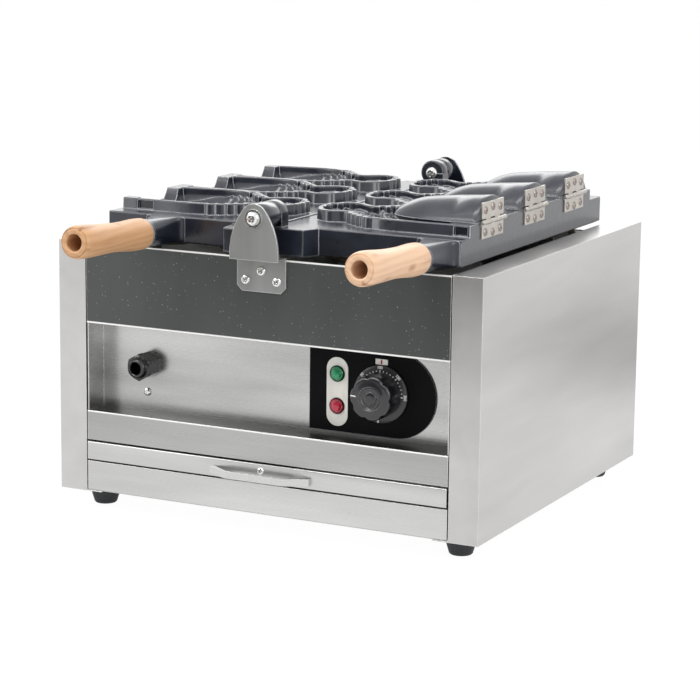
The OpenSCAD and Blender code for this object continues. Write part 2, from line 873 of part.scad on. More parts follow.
module control_panel() placed() color("silver")
    difference() {
        union() {
            block([-front_half, panel_y, bar_z + bar_h - sheet],
                [front_half, panel_y + sheet, upper_z + sheet]);
            for (x = [-front_half, front_half - sheet])
                block([x, sheet, bar_z + bar_h], [x + sheet, panel_y + sheet, upper_z]);
        }
        rod_y(-gland_mid, gland_z, gland_thread_r + seat_gap, panel_y - 1, panel_y + 5);
        rod_y(-gland_mid, gland_z - earth_drop, screw_r + seat_gap, panel_y - 1, panel_y + 5);
        rod_y(dial_mid, dial_z, shaft_r + 1.5, panel_y - 1, panel_y + 5);
        for (side = [-1, 1])
            rod_y(lamp_x, lamp_z + side * lamp_rise, lamp_r - 1 + seat_gap, panel_y - 1, panel_y + 5);
    }

module upper_front_panel() placed() color("darkslategray")
    difference() {
        union() {
            block([-front_half, 0, upper_z], [front_half, sheet, front_top]);
            block([-front_half, 0, upper_z], [front_half, panel_y, upper_z + sheet]);
            block([-front_half, 0, front_top - sheet], [front_half, hem, front_top]);
            for (x = [-front_half, front_half - sheet])
                block([x, 0, upper_z], [x + sheet, return_d, front_top]);
        }
        bracket_screw_holes();
    }

module bracket_screw_holes() {
    for (p = bracket_screw_places)
        rod_y(p[0], p[1], screw_r + seat_gap, -9, 9);
}

bracket_screw_places = [
    [-0.32 * bracket_w, front_top - 0.66 * bracket_drop], [0, front_top - 0.37 * bracket_drop],
    [0.32 * bracket_w, front_top - 0.66 * bracket_drop]
];
rear_screw_places = [for (side = [-1, 1]) [side * 0.33 * bracket_w, cab_h - 0.76 * bracket_drop]];
bracket_screw_head_r = 4.8;
bracket_screw_head_h = 2.4;
bracket_screw_len = 6;

// Pan under the heating tubes, hung from the side panels' lips
module reflector_pan() placed() color("gainsboro")
    difference() {
        union() {
            block([-pan_half, pan_front, pan_z], [pan_half, pan_rear, pan_top]);
            block([-cab_half + sheet, pan_front, pan_top - sheet],
                [cab_half - sheet, pan_rear, pan_top]);
        }
        block([-pan_half + sheet, pan_front + sheet, pan_z + sheet],
            [pan_half - sheet, pan_rear - sheet, pan_top + 1]);
        block([-14, mould_front + 30, pan_z - 1], [14, mould_rear - 30, pan_z + 5]);
        for (side = [-1, 1], x = [leg_x0, leg_x0 + (legs - 1) * leg_pitch])
            translate([side * x, heater_tail + drop_r, pan_z - 1])
                cylinder(r = heater_r + 1.5, h = 5);
    }

// Serpentine heating tube under one mould half, drawn for +X
module heating_tube() {
    bend_r = leg_pitch / 2;
    for (i = [0 : legs - 1]) {
        x = leg_x0 + i * leg_pitch;
        end_leg = i == 0 || i == legs - 1;
        rod_y(x, heater_z, heater_r, heater_front, end_leg ? heater_tail : heater_rear);
    }
    for (i = [0 : legs - 2]) {
        at_front = i % 2 == 0;
        translate([leg_x0 + (i + 0.5) * leg_pitch, at_front ? heater_front : heater_rear, heater_z])
            rotate([0, 0, at_front ? 180 : 0])
                rotate_extrude(angle = 180)
                    translate([bend_r, 0])
                        circle(r = heater_r, $fn = 32);
    }
    for (x = [leg_x0, leg_x0 + (legs - 1) * leg_pitch]) {
        translate([x, heater_tail, heater_z - drop_r])
            rotate([0, -90, 0])
                rotate_extrude(angle = 90)
                    translate([drop_r, 0])
                        circle(r = heater_r, $fn = 32);
        translate([x, heater_tail + drop_r, pan_z - cold_end])
            cylinder(r = heater_r, h = heater_z - drop_r - pan_z + cold_end);
    }
}

module left_heating_tube() placed() color("gray")
    mirror([1, 0, 0])
        heating_tube();

module right_heating_tube() placed() color("gray")
    heating_tube();

// Edge-standing bars on the pan's floor under the tubes
module heating_tube_supports() placed() color("gainsboro")
    for (side = [-1, 1], y = support_y) {
        width = (legs - 1) * leg_pitch + 2 * support_end;
        x0 = side > 0 ? leg_x0 - support_end : support_end - leg_x0 - width;
        block([x0, y, pan_z + sheet], [x0 + width, y + support_t, heater_z - heater_r - seat_gap]);
        block([x0, y, pan_z + sheet], [x0 + width, y + support_foot, pan_z + sheet + support_t]);
    }

// Ceramic beads on the tubes' cold ends
module heater_terminals() placed() color("white")
    for (side = [-1, 1], x = [leg_x0, leg_x0 + (legs - 1) * leg_pitch])
        translate([side * x, heater_tail + drop_r, pan_z - cold_end - bead_len])
            difference() {
                cylinder(r = heater_r + bead_wall, h = bead_len);
                translate([0, 0, -1])
                    cylinder(r = bead_bore_r, h = bead_len + 2);
            }

// Ledges that carry the drawer
module drawer_runners() placed() color("silver")
    for (side = [0, 1])
        mirror([side, 0, 0]) {
            block([drawer_half - 10, return_d + 2, runner_z - sheet],
                [cab_half - sheet, drawer_len + 8, runner_z]);
            block([cab_half - 2 * sheet, return_d + 2, runner_z], [cab_half - sheet, drawer_len + 8, bar_z]);
        }

module rubber_feet() placed() color("black")
    for (x = [-1, 1], y = [foot_inset_y, cab_d - foot_inset_y])
        translate([x * (cab_half - foot_inset_x), y, -foot_h])
            difference() {
                rotate_extrude()
                    polygon([
                        [0, 0], [foot_bottom_d / 2 - 1.2, 0], [foot_bottom_d / 2, 1.2],
                        [foot_top_d / 2, foot_h - 2], [foot_top_d / 2, foot_h], [0, foot_h]
                    ]);
                translate([0, 0, -1])
                    cylinder(r = 6, h = foot_h - 4);
                cylinder(r = 2.6, h = foot_h + 1, $fn = 24);
            }

module foot_screws() placed() color("silver")
    for (x = [-1, 1], y = [foot_inset_y, cab_d - foot_inset_y])
        translate([x * (cab_half - foot_inset_x), y, -5])
            pan_screw(5, 3, 2.5, 5 + 2 * sheet + 3);

// Upright of a hinge bracket: two round flanks that run into a round head
module bracket_upright(y, t, foot_z) {
    half = bracket_w / 2;
    drop = plane_z - foot_z - bracket_foot;
    flank_r = (pow(half, 2) + pow(drop, 2) - pow(bracket_head_r, 2)) / (2 * (half - bracket_head_r));
    touch_z = bracket_head_r * drop / (flank_r - bracket_head_r);
    translate([0, y + t, plane_z])
        rotate([90, 0, 0])
            linear_extrude(t)
                difference() {
                    union() {
                        intersection() {
                            translate([half - flank_r, -drop])
                                circle(r = flank_r);
                            translate([flank_r - half, -drop])
                                circle(r = flank_r);
                            translate([-half, foot_z - plane_z])
                                square([2 * half, plane_z - foot_z + touch_z]);
                        }
                        circle(r = bracket_head_r);
                    }
                    circle(r = bore_r);
                }
}

module front_hinge_bracket() placed() color("silver")
    difference() {
        union() {
            block([-bracket_w / 2, -bracket_t, front_top - bracket_drop],
                [bracket_w / 2, 0, front_top]);
            block([-bracket_w / 2, front_face_y - bracket_t, front_top],
                [bracket_w / 2, 0, front_top + bracket_t]);
            bracket_upright(front_face_y - bracket_t, bracket_t, front_top);
        }
        for (x = [-1, 1])
            translate([x * bracket_w / 2, 1, front_top - bracket_drop])
                rotate([90, 45, 0])
                    translate([-4, -4, 0])
                        cube([8, 8, 6]);
        bracket_screw_holes();
    }

module rear_hinge_bracket() placed() color("black")
    difference() {
        union() {
            block([-bracket_w / 2, cab_d - sheet, cab_h - bracket_drop],
                [bracket_w / 2, cab_d - sheet + bracket_t, front_top + bracket_t]);
            block([-bracket_w / 2, cab_d - sheet, front_top],
                [bracket_w / 2, rear_upright_y + bracket_t, front_top + bracket_t]);
            bracket_upright(rear_upright_y, bracket_t, front_top);
        }
        rear_screw_holes();
    }

module bracket_screws() placed() color("silver") {
    for (p = bracket_screw_places)
        screw_y(p[0], -bracket_t, p[1], bracket_screw_head_r, bracket_screw_head_h, screw_r,
            bracket_screw_len);
    for (p = rear_screw_places)
        translate([p[0], cab_d - sheet + bracket_t, p[1]])
            rotate([90, 0, 0])
                pan_screw(bracket_screw_head_r, bracket_screw_head_h, screw_r, bracket_screw_len);
}

module front_pivot_bolt() placed() color("gainsboro") {
    seat = front_face_y - bracket_t - washer_t;
    screw_y(0, seat, plane_z, pivot_head_r, pivot_head_h, pivot_r, right_ear_end + nut_h + 1.5 - seat);
}

module rear_pivot_bolt() placed() color("gainsboro")
    screw_y(0, mould_rear - 0.4, plane_z, pivot_head_r, pivot_head_h, pivot_r,
        rear_most - mould_rear + 0.4);

module pivot_nuts() placed() color("gainsboro") {
    for (y = [right_ear_end + 0.4, rear_upright_y + bracket_t])
        difference() {
            hex_y(0, plane_z, nut_across - 2, y, y + nut_h);
            rod_y(0, plane_z, pivot_r, y - 1, y + nut_h + 1);
        }
}

module pivot_washers() placed() color("gainsboro") {
    outer_face = front_face_y - bracket_t;
    for (span = [[outer_face - washer_t, outer_face], [front_face_y, left_boss_y - body_gap],
            [rear_left_end + body_gap, rear_upright_y]])
        difference() {
            rod_y(0, plane_z, washer_r, span[0], span[1]);
            rod_y(0, plane_z, pivot_r, span[0] - 1, span[1] + 1);
        }
}

module crumb_tray() placed() color("lightgray")
    difference() {
        block([-drawer_half, tray_y, runner_z + body_gap],
            [drawer_half, tray_y + drawer_len, runner_z + body_gap + drawer_wall_h]);
        block([-drawer_half + sheet, tray_y + sheet, runner_z + body_gap + sheet],
            [drawer_half - sheet, tray_y + drawer_len - sheet, bar_z + 5]);
        rod_y(0, pull_z + 4.5, screw_r + seat_gap, tray_y - 1, tray_y + 3);
    }

module drawer_front() placed() color("lightgray")
    difference() {
        block([-front_half, face_y, drawer_z], [front_half, tray_y, drawer_z + drawer_face_h]);
        block([-front_half + sheet, face_y + sheet, drawer_z + sheet],
            [front_half - sheet, tray_y + 1, drawer_z + drawer_face_h - sheet]);
        rod_y(0, pull_z + 4.5, screw_r + seat_gap, face_y - 1, tray_y);
    }

// Bent strap with slanted sides and solid ends
module drawer_pull() placed() color("gainsboro") {
    half = pull_w / 2;
    slope = 24;
    end_t = 4;
    outer = [[-half, 0], [-half, -end_t], [-half + slope, -pull_reach], [half - slope, -pull_reach],
        [half, -end_t], [half, 0]];
    inner = [[half - end_t, 0], [half - slope - 1, pull_t - pull_reach],
        [slope + 1 - half, pull_t - pull_reach], [end_t - half, 0]];
    translate([0, face_y, pull_z - pull_h / 2])
        linear_extrude(pull_h)
            polygon(concat(outer, inner));
}

module drawer_screw() placed() color("silver")
    screw_y(0, face_y, pull_z + 4.5, 3.6, 1.8, screw_r, 6);

// Plate behind the controls: straight at the left, half round at the right
module control_bezel() placed() color("black") {
    left = dial_mid - bezel_left;
    centre = left + bezel_len - bezel_h / 2;
    difference() {
        union() {
            block([left, bezel_y, dial_z - bezel_h / 2], [centre, panel_y, dial_z + bezel_h / 2]);
            rod_y(centre, dial_z, bezel_h / 2, bezel_y, panel_y);
        }
        rod_y(dial_mid, dial_z, shaft_r + 1.5, bezel_y - 1, panel_y + 1);
        for (side = [-1, 1])
            rod_y(lamp_x, lamp_z + side * lamp_rise, lamp_r - 1 + seat_gap, bezel_y - 1, panel_y + 1);
    }
}

module lamp_plate() placed() color("white") {
    straight = plate_h / 2 - plate_w / 2;
    difference() {
        union() {
            block([lamp_x - plate_w / 2, bezel_y - 0.8, plate_mid_z - straight],
                [lamp_x + plate_w / 2, bezel_y, plate_mid_z + straight]);
            for (side = [-1, 1])
                rod_y(lamp_x, plate_mid_z + side * straight, plate_w / 2, bezel_y - 0.8, bezel_y);
        }
        for (side = [-1, 1])
            rod_y(lamp_x, lamp_z + side * lamp_rise, lamp_r - 1 + seat_gap, bezel_y - 2, bezel_y + 1);
    }
}

// Indicator lamp with a domed lens and a body behind the panel
module lamp(z) {
    seat = bezel_y - 0.8;
    translate([lamp_x, seat, z])
        rotate([90, 0, 0])
            rotate_extrude($fn = 48)
                polygon([
                    [0, -26], [lamp_r - 1, -26], [lamp_r - 1, 0], [lamp_r, 0], [lamp_r, 1.4],
                    [lamp_r - 0.8, 2.4], [lamp_r - 1.6, 2.4], [lamp_r * 0.6, 4.4],
                    [lamp_r * 0.3, 5], [0, 5.2]
                ]);
}

module power_lamp() placed() color("green") lamp(lamp_z + lamp_rise);
module heat_lamp() placed() color("red") lamp(lamp_z - lamp_rise);

module dial_index() placed() color("white")
    block([dial_mid - index_w / 2, bezel_y - 0.8, dial_z + dial_d / 2 + index_gap],
        [dial_mid + index_w / 2, bezel_y, dial_z + dial_d / 2 + index_gap + index_h]);

// Thermostat body behind the panel with a bush through it
module thermostat() placed() color("gray")
    difference() {
        union() {
            block([dial_mid - 17, panel_y + sheet, dial_z - 20], [dial_mid + 17, panel_y + 38, dial_z + 20]);
            rod_y(dial_mid, dial_z, shaft_r + 1.4, bezel_y, panel_y + sheet + 1);
        }
        rod_y(dial_mid, dial_z, shaft_r + 0.05, bezel_y - 1, panel_y + 20);
    }

// Dial skirt, scalloped grip with a ring and a cap on its front, and shaft
module dial_knob() placed() color("dimgray") {
    back = bezel_y - 0.5;
    grip_back = back - skirt_t;
    grip_r = dial_d / 2 - 6.8;
    ring_h = 0.7;
    rise = grip_back - bezel_y + dial_h - ring_h;
    edge = 3;
    ring_r = grip_r * 0.53;
    cap_r = grip_r * 0.27;
    scallops = 9;
    scallop_r = 7;
    scallop_cut = 1.5;
    translate([dial_mid, back, dial_z])
        rotate([90, 0, 0])
            rotate_extrude()
                polygon([
                    [0, 0], [dial_d / 2, 0], [dial_d / 2, skirt_t - 1],
                    [dial_d / 2 - 1, skirt_t], [0, skirt_t]
                ]);
    translate([dial_mid, grip_back, dial_z])
        rotate([90, 0, 0])
            difference() {
                rotate_extrude()
                    polygon([
                        [0, -0.5], [grip_r, -0.5], [grip_r, rise - edge], [grip_r - edge / 2, rise],
                        [ring_r + 1, rise], [ring_r, rise + ring_h], [ring_r - 1, rise],
                        [ring_r - 2, rise - 1], [cap_r + 0.5, rise - 1], [cap_r, rise], [0, rise]
                    ]);
                for (i = [0 : scallops - 1])
                    rotate((i + 0.25) * 360 / scallops)
                        translate([grip_r + scallop_r - scallop_cut, 0])
                            cylinder(r = scallop_r, h = dial_h, $fn = 32);
            }
    rod_y(dial_mid, dial_z, shaft_r, back - 5, panel_y + 18);
}

module cable_gland() placed() color("black")
    difference() {
        union() {
            hex_y(-gland_mid, gland_z, gland_flats, panel_y - 9, panel_y);
            translate([-gland_mid, panel_y - 9, gland_z])
                rotate([90, 0, 0])
                    rotate_extrude()
                        polygon([
                            [0, 0], [gland_r, 0], [gland_r, 9], [gland_r - 0.7, 13],
                            [gland_r - 2, 16], [gland_r - 3, 16.6], [0, 16.6]
                        ]);
            rod_y(-gland_mid, gland_z, gland_thread_r, panel_y - 1, panel_y + 12);
        }
        rod_y(-gland_mid, gland_z, gland_hole_r - 1.5, panel_y - 30, panel_y + 20);
        rod_y(-gland_mid, gland_z, gland_hole_r, panel_y - 30, panel_y - 12);
    }

module gland_locknut() placed() color("black")
    difference() {
        hex_y(-gland_mid, gland_z, gland_flats, panel_y + sheet, panel_y + sheet + 5);
        rod_y(-gland_mid, gland_z, gland_thread_r, panel_y, panel_y + 10);
    }

module earth_screw() placed() color("silver")
    screw_y(-gland_mid, panel_y, gland_z - earth_drop, 4.3, 2.4, screw_r, 8);

module terminal_block() placed() color("white")
    for (i = [-1, 0, 1])
        difference() {
            block([-60 + i * 12, panel_y + sheet, dial_z - 18], [-49 + i * 12, panel_y + 18, dial_z + 18]);
            for (z = [-10, 10])
                rod_y(-54.5 + i * 12, dial_z + z, 2.5, panel_y + 10, panel_y + 20);
        }

left_side_panel();
right_side_panel();
base_pan();
back_panel();
front_skirt();
lower_front_bar();
control_panel();
upper_front_panel();
reflector_pan();
left_heating_tube();
right_heating_tube();
heating_tube_supports();
heater_terminals();
drawer_runners();
rubber_feet();
foot_screws();
front_hinge_bracket();
rear_hinge_bracket();
bracket_screws();
front_pivot_bolt();
rear_pivot_bolt();
pivot_nuts();
pivot_washers();
left_mould_half();
left_handle_boss();
left_handle_rod();
left_wooden_grip();
right_mould_half();
right_handle_boss();
right_handle_rod();
right_wooden_grip();
core_hinge_lower_leaves();
core_hinge_pins();
lower_leaf_screws();
front_mouth_core();
front_core_leaf();
front_leaf_screws();
middle_mouth_core();
middle_core_leaf();
middle_leaf_screws();
rear_mouth_core();
rear_core_leaf();
rear_leaf_screws();
crumb_tray();
drawer_front();
drawer_pull();
drawer_screw();
control_bezel();
lamp_plate();
power_lamp();
heat_lamp();
dial_index();
thermostat();
dial_knob();
cable_gland();
gland_locknut();
earth_screw();
terminal_block();
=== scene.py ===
"""Looks of a countertop taiyaki maker: camera, soft studio light, finishes and detailed pieces.

Shapes are written in millimetres in the cabinet's own frame: X to the right from the middle,
Y to the back from the front posts, Z up from the cabinet's bottom.
"""
import math
from contextlib import contextmanager
import bpy
import bmesh
from mathutils import Matrix, Vector


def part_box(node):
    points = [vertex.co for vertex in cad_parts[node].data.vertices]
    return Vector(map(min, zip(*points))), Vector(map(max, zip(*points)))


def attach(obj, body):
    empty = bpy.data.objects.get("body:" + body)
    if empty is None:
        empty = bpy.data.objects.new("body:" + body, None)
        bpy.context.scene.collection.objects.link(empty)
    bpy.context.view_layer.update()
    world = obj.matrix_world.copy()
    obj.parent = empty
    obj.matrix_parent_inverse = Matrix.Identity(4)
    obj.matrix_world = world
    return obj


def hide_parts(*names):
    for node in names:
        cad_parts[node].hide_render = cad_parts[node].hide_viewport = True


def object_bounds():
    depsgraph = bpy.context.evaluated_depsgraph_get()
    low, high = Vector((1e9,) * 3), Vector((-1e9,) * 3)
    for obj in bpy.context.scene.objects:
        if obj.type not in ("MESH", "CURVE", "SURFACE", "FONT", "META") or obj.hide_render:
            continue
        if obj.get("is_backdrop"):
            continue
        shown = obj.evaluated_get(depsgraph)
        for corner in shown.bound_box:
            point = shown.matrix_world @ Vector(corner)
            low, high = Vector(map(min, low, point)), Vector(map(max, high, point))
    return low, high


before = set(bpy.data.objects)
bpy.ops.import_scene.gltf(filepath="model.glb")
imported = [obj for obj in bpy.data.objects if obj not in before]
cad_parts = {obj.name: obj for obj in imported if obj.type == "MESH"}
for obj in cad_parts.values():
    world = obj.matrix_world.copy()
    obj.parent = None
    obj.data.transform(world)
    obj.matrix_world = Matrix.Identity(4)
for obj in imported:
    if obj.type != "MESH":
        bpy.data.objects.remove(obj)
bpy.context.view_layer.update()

MM = 0.001
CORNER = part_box("left_side_panel")[0]
TO_ROW = Matrix.Translation((0, CORNER.y, CORNER.z)) @ Matrix.Scale(MM, 4)

# Camera and light: lamps in metres round the machine, and the camera where the photograph was taken

CAMERA_PLACE, CAMERA_TURN, CAMERA_LENS = (1168.376, -2142.993, 660.572), (78.6869, -0.6853, 26.6626), 127.745

camera_data = bpy.data.cameras.new("photo_camera")
camera_data.lens = CAMERA_LENS
camera_data.sensor_width = 36
camera_data.clip_end = 50
camera = bpy.data.objects.new("photo_camera", camera_data)
camera.location = TO_ROW @ Vector(CAMERA_PLACE)
camera.rotation_euler = [math.radians(a) for a in CAMERA_TURN]
bpy.context.scene.collection.objects.link(camera)
bpy.context.scene.camera = camera


def softbox(name, centre, target, size, radiance):
    """A rectangular lamp that faces a point, as bright as a surface of that radiance."""
    lamp = bpy.data.lights.new(name, "AREA")
    lamp.shape = "RECTANGLE"
    lamp.size, lamp.size_y = size
    lamp.energy = radiance * math.pi * size[0] * size[1]
    holder = bpy.data.objects.new(name, lamp)
    holder.location = centre
    holder.rotation_euler = (Vector(target) - Vector(centre)).to_track_quat("-Z", "Y").to_euler()
    bpy.context.scene.collection.objects.link(holder)


softbox("overhead_strip", (0.1, -0.5, 2.2), (0, 0, 0.2), (2.0, 0.4), 8)
softbox("front_strip", (-0.7, -1.7, 2.3), (0, 0, 0.3), (1.7, 0.14), 14)
softbox("left_softbox", (-2.0, -1.9, 1.5), (0, 0, 0.2), (1.2, 1.6), 3.4)
softbox("right_softbox", (2.3, -0.6, 1.3), (0, 0, 0.2), (1.2, 1.6), 3.6)
softbox("rear_softbox", (-1.0, 2.2, 1.5), (0, 0, 0.3), (2.4, 1.1), 2.2)


class Signal:
    """A node's output in a finish; arithmetic on it adds Math nodes."""

    def __init__(self, finish, socket):
        self.finish, self.socket = finish, socket

    def math(self, operation, *others):
        return self.finish.node("ShaderNodeMath", dict(enumerate((self, *others))), operation=operation)

    def __add__(self, other):
        return self.math("ADD", other)

    def __sub__(self, other):
        return self.math("SUBTRACT", other)

    def __mul__(self, other):
        return self.math("MULTIPLY", other)

    def __rsub__(self, other):
        return self * -1 + other

    __radd__, __rmul__ = __add__, __mul__


class Finish:
    """A procedural material round one Principled shader."""

    def __init__(self, name, tree=None, **sockets):
        if tree is None:
            self.material = bpy.data.materials.new(name)
            self.material.use_nodes = True
            tree = self.material.node_tree
        self.tree = tree
        self.shader = tree.nodes.get("Principled BSDF")
        self.set(**sockets)

    def node(self, kind, values=None, out=0, **settings):
        """A node of that type: its settings first, then the values or links of its sockets."""
        made = self.tree.nodes.new(kind)
        for key, value in settings.items():
            setattr(made, key, value)
        for key, value in (values or {}).items():
            if isinstance(value, Signal):
                self.tree.links.new(value.socket, made.inputs[key])
            else:
                made.inputs[key].default_value = value
        return Signal(self, made.outputs[out])

    def set(self, **sockets):
        """Sets or links the shader's sockets; an underscore in a name is a space."""
        for key, value in sockets.items():
            socket = self.shader.inputs[key.replace("_", " ")]
            if isinstance(value, Signal):
                self.tree.links.new(value.socket, socket)
            else:
                socket.default_value = (*value, 1) if isinstance(value, tuple) and len(value) == 3 else value
        return self

    def place(self, x=1, y=1, z=1):
        """The object's own coordinates in millimetres, stretched."""
        here = self.node("ShaderNodeTexCoord", out="Object")
        share = (x / MM, y / MM, z / MM)
        return self.node("ShaderNodeVectorMath", {0: here, 1: share}, operation="MULTIPLY")

    def noise(self, size, where=None, detail=3, rough=0.55):
        """Fine noise about 0.5 with features of that size."""
        values = {"Vector": where or self.place(), "Scale": 1 / size, "Detail": detail, "Roughness": rough}
        return self.node("ShaderNodeTexNoise", values)

    def steps(self, signal, low, high):
        """0 below low, 1 above high."""
        return self.node("ShaderNodeMapRange", {0: signal, 1: low, 2: high}, clamp=True)

    def mix(self, share, first, second):
        """A colour between two colours."""
        colours = [(*c, 1) if isinstance(c, tuple) else c for c in (first, second)]
        return self.node("ShaderNodeMix", {0: share, 6: colours[0], 7: colours[1]}, out=2, data_type="RGBA")

    def edges(self, radius, low=0.01, high=0.12):
        """Rounded normal for the edges, and a mask that is 1 on them."""
        soft = self.node("ShaderNodeBevel", {"Radius": radius * MM}, samples=4)
        plain = self.node("ShaderNodeNewGeometry", out="Normal")
        same = self.node("ShaderNodeVectorMath", {0: soft, 1: plain}, out="Value", operation="DOT_PRODUCT")
        return soft, self.steps(1 - same, low, high)

    def tinted(self, level, colour):
        """A colour of that brightness and hue."""
        return self.node("ShaderNodeCombineColor", {i: level * colour[i] for i in range(3)})

    def greater(self, first, second):
        """The larger of two masks."""
        return self.node("ShaderNodeMath", {0: first, 1: second}, operation="MAXIMUM")

    def bump(self, height, depth, strength=1.0, normal=None):
        """Normal of a surface with that relief, in millimetres."""
        values = {"Height": height, "Distance": depth * MM, "Strength": strength}
        if normal:
            values["Normal"] = normal
        return self.node("ShaderNodeBump", values)


def hem(finish, node, low, high):
    """1 along the lower and the upper edge of a CAD node's sheet, where its fold catches light and is painted
    paler as a highlight.
    """
    bottom, top = (corner.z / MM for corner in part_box(node))
    height = finish.node("ShaderNodeSeparateXYZ", {0: finish.place()}, out=2)
    return finish.steps(bottom + low - height, -0.3, 0.3) + finish.steps(height - (top - high), -0.3, 0.3)


def brushed(name, tone, along, rough=0.3, streak=0.06, cloud=0.3, colour=(1.0, 1.0, 0.985), fold=None,
            ledge_painted_shade=0.0):
    """Steel sheet with fine brush lines along one axis and soft bands. Its cut edges and folds are painted
    paler as a highlight, and its upward faces are painted darker as shade.
    """
    f = Finish(name)
    lines = f.noise(1, f.place(*[0.012 if axis == along else 2.2 for axis in "xyz"]), detail=4, rough=0.65)
    bands = f.noise(46, f.place(*[0.15 if axis == along else 1.0 for axis in "xyz"]), detail=3)
    soft, mask = f.edges(1.0)
    shade = (lines - 0.5) * streak * 2 + (bands - 0.5) * cloud + tone
    # Upward faces, such as ledges, are made darker by this amount: painted shade.
    if ledge_painted_shade:
        facing = f.node("ShaderNodeSeparateXYZ", {0: f.node("ShaderNodeTexCoord", out="Normal")}, out=2)
        level = f.steps(facing, 0.6, 0.9)
        shade = shade - level * ledge_painted_shade
        if fold:
            mask = f.greater(mask, hem(f, *fold) * (1 - level))
    # The edge mask and the hem band paint cut edges and folds paler and less metallic: a painted highlight.
    f.set(Base_Color=f.tinted(shade + mask * (0.96 - tone), colour), Metallic=1 - mask * 0.6,
          Roughness=(lines - 0.5) * 0.25 + rough - mask * 0.08, Normal=f.bump(lines, 0.02, 0.35, soft))
    return f.material


def hardware(name, tone, rough, colour=(1.0, 1.0, 0.98)):
    """Polished screws and bolts with faint stains, and edges painted a little paler as a highlight."""
    f = Finish(name, Metallic=1.0)
    soft, mask = f.edges(0.35)
    stain = f.noise(2.2)
    # The edge mask adds a little brightness on the edges: a painted highlight.
    f.set(Base_Color=f.tinted((stain - 0.5) * 0.15 + tone + mask * 0.08, colour),
          Roughness=(stain - 0.5) * 0.2 + rough, Normal=soft)
    return f.material


def cast_coating(name, coat, coat_rough, rough=0.3):
    """Glossy near-black coating on cast metal with orange peel. Its edges are painted near white in patches,
    partly as wear and partly as a painted highlight.
    """
    f = Finish(name, Specular_IOR_Level=0.5, Coat_Weight=coat, Coat_Roughness=coat_rough, Coat_IOR=1.45)
    peel = f.noise(2.4, detail=2) + f.noise(11, detail=1) * 6
    cloud = f.noise(24, detail=3)
    soft, mask = f.edges(1.6, 0.03, 0.18)
    # Edges painted near white where the cloud is high: partly wear, partly painted highlight.
    wear_and_highlight = mask * f.steps(cloud, 0.15, 0.5)
    base = f.mix(f.steps(cloud, 0.3, 0.75), (0.005, 0.007, 0.014), (0.016, 0.020, 0.034))
    f.set(Base_Color=f.mix(wear_and_highlight * 0.9, base, (0.93, 0.95, 1.0)), Roughness=(cloud - 0.5) * 0.2 + rough,
          Normal=f.bump(peel, 0.07, 0.5, soft))
    return f.material


def speckled_enamel():
    """Dark grey-green panel with sparse light specks and faint streaks, its edges and hem painted near white
    as a highlight.
    """
    f = Finish("speckled_enamel", Metallic=0.35, Coat_Weight=0.25, Coat_Roughness=0.2)
    specks = {"Vector": f.place(), "Scale": 1 / 3.4}
    cell = f.node("ShaderNodeTexVoronoi", specks, out="Distance")
    colour = f.node("ShaderNodeTexVoronoi", specks, out="Color")
    chance = f.node("ShaderNodeSeparateColor", {0: colour}, out=0)
    speck = f.steps(0.20 - cell, 0.0, 0.12) * f.steps(chance, 0.60, 1.15)
    streak = f.noise(40, f.place(0.5, 1, 0.12), detail=3)
    grain = f.noise(1.3)
    soft, mask = f.edges(1.0)
    dark = f.mix(f.steps(streak, 0.25, 0.8), (0.050, 0.056, 0.054), (0.078, 0.085, 0.082))
    spotted = f.mix(speck, dark, (0.50, 0.51, 0.49))
    # Edges and hem painted near white: painted highlight.
    painted_edge_highlight = f.greater(mask, hem(f, "upper_front_panel", 1.7, 1.3))
    f.set(Base_Color=f.mix(painted_edge_highlight, spotted, (0.95, 0.95, 0.93)), Roughness=(grain - 0.5) * 0.2 + 0.38,
          Normal=f.bump(grain, 0.02, 0.3, soft))
    return f.material


def turned_wood(name, dark, light):
    """Turned wood with rings along the grip, fine fibres, a dark streak and a knot."""
    f = Finish(name, Coat_Weight=0.15, Coat_Roughness=0.35)
    across, _, up = (f.node("ShaderNodeSeparateXYZ", {0: f.place()}, out=i) for i in range(3))
    wobble = f.noise(14, f.place(1, 0.10, 1), detail=2)
    rings = f.node("ShaderNodeMath", {0: (up * 0.8 + across * 0.25 + wobble * 9) * 1.15}, operation="SINE")
    fibre = f.noise(1.1, f.place(1, 0.035, 1), detail=4, rough=0.7)
    streak = f.steps(f.noise(11, f.place(1, 0.06, 1), detail=2), 0.60, 0.68)
    knot = f.node("ShaderNodeTexVoronoi", {"Vector": f.place(1, 0.45, 1), "Scale": 1 / 30}, out="Distance")
    deep = tuple(c * share for c, share in zip(dark, (0.50, 0.36, 0.27)))
    tone = f.mix(f.steps(rings, -1.0, 1.0) * 0.55 + 0.3, dark, light)
    tone = f.mix(f.steps(fibre, 0.35, 0.75) * 0.35, tone, tuple(min(1, c * 1.16) for c in light))
    tone = f.mix(streak * 0.6, tone, deep)
    tone = f.mix((1 - f.steps(knot, 0.05, 0.16)) * 0.6, tone, deep)
    f.set(Base_Color=tone, Roughness=(fibre - 0.5) * 0.2 + 0.46, Normal=f.bump(fibre, 0.06, 0.4))
    return f.material


def moulded(name, colour, rough, coat=0.0, grain=0.3, edge=0.25, shine=0.5):
    """Plastic or rubber with a fine grain, and edges painted paler as a highlight."""
    f = Finish(name, Coat_Weight=coat, Coat_Roughness=0.1, Specular_IOR_Level=shine)
    fine = f.noise(0.7)
    cloud = f.noise(18)
    soft, mask = f.edges(0.5)
    # The lighter colour mixed in on the edge mask is a painted highlight.
    edge_highlight_colour = tuple(min(1.0, c + edge * (1 - c)) for c in colour)
    deep = tuple(c * 0.8 for c in colour)
    f.set(Base_Color=f.mix(mask * 0.6, f.mix(f.steps(cloud, 0.3, 0.7), deep, colour), edge_highlight_colour),
          Roughness=(fine - 0.5) * 0.15 + rough, Normal=f.bump(fine, 0.03, grain, soft))
    return f.material


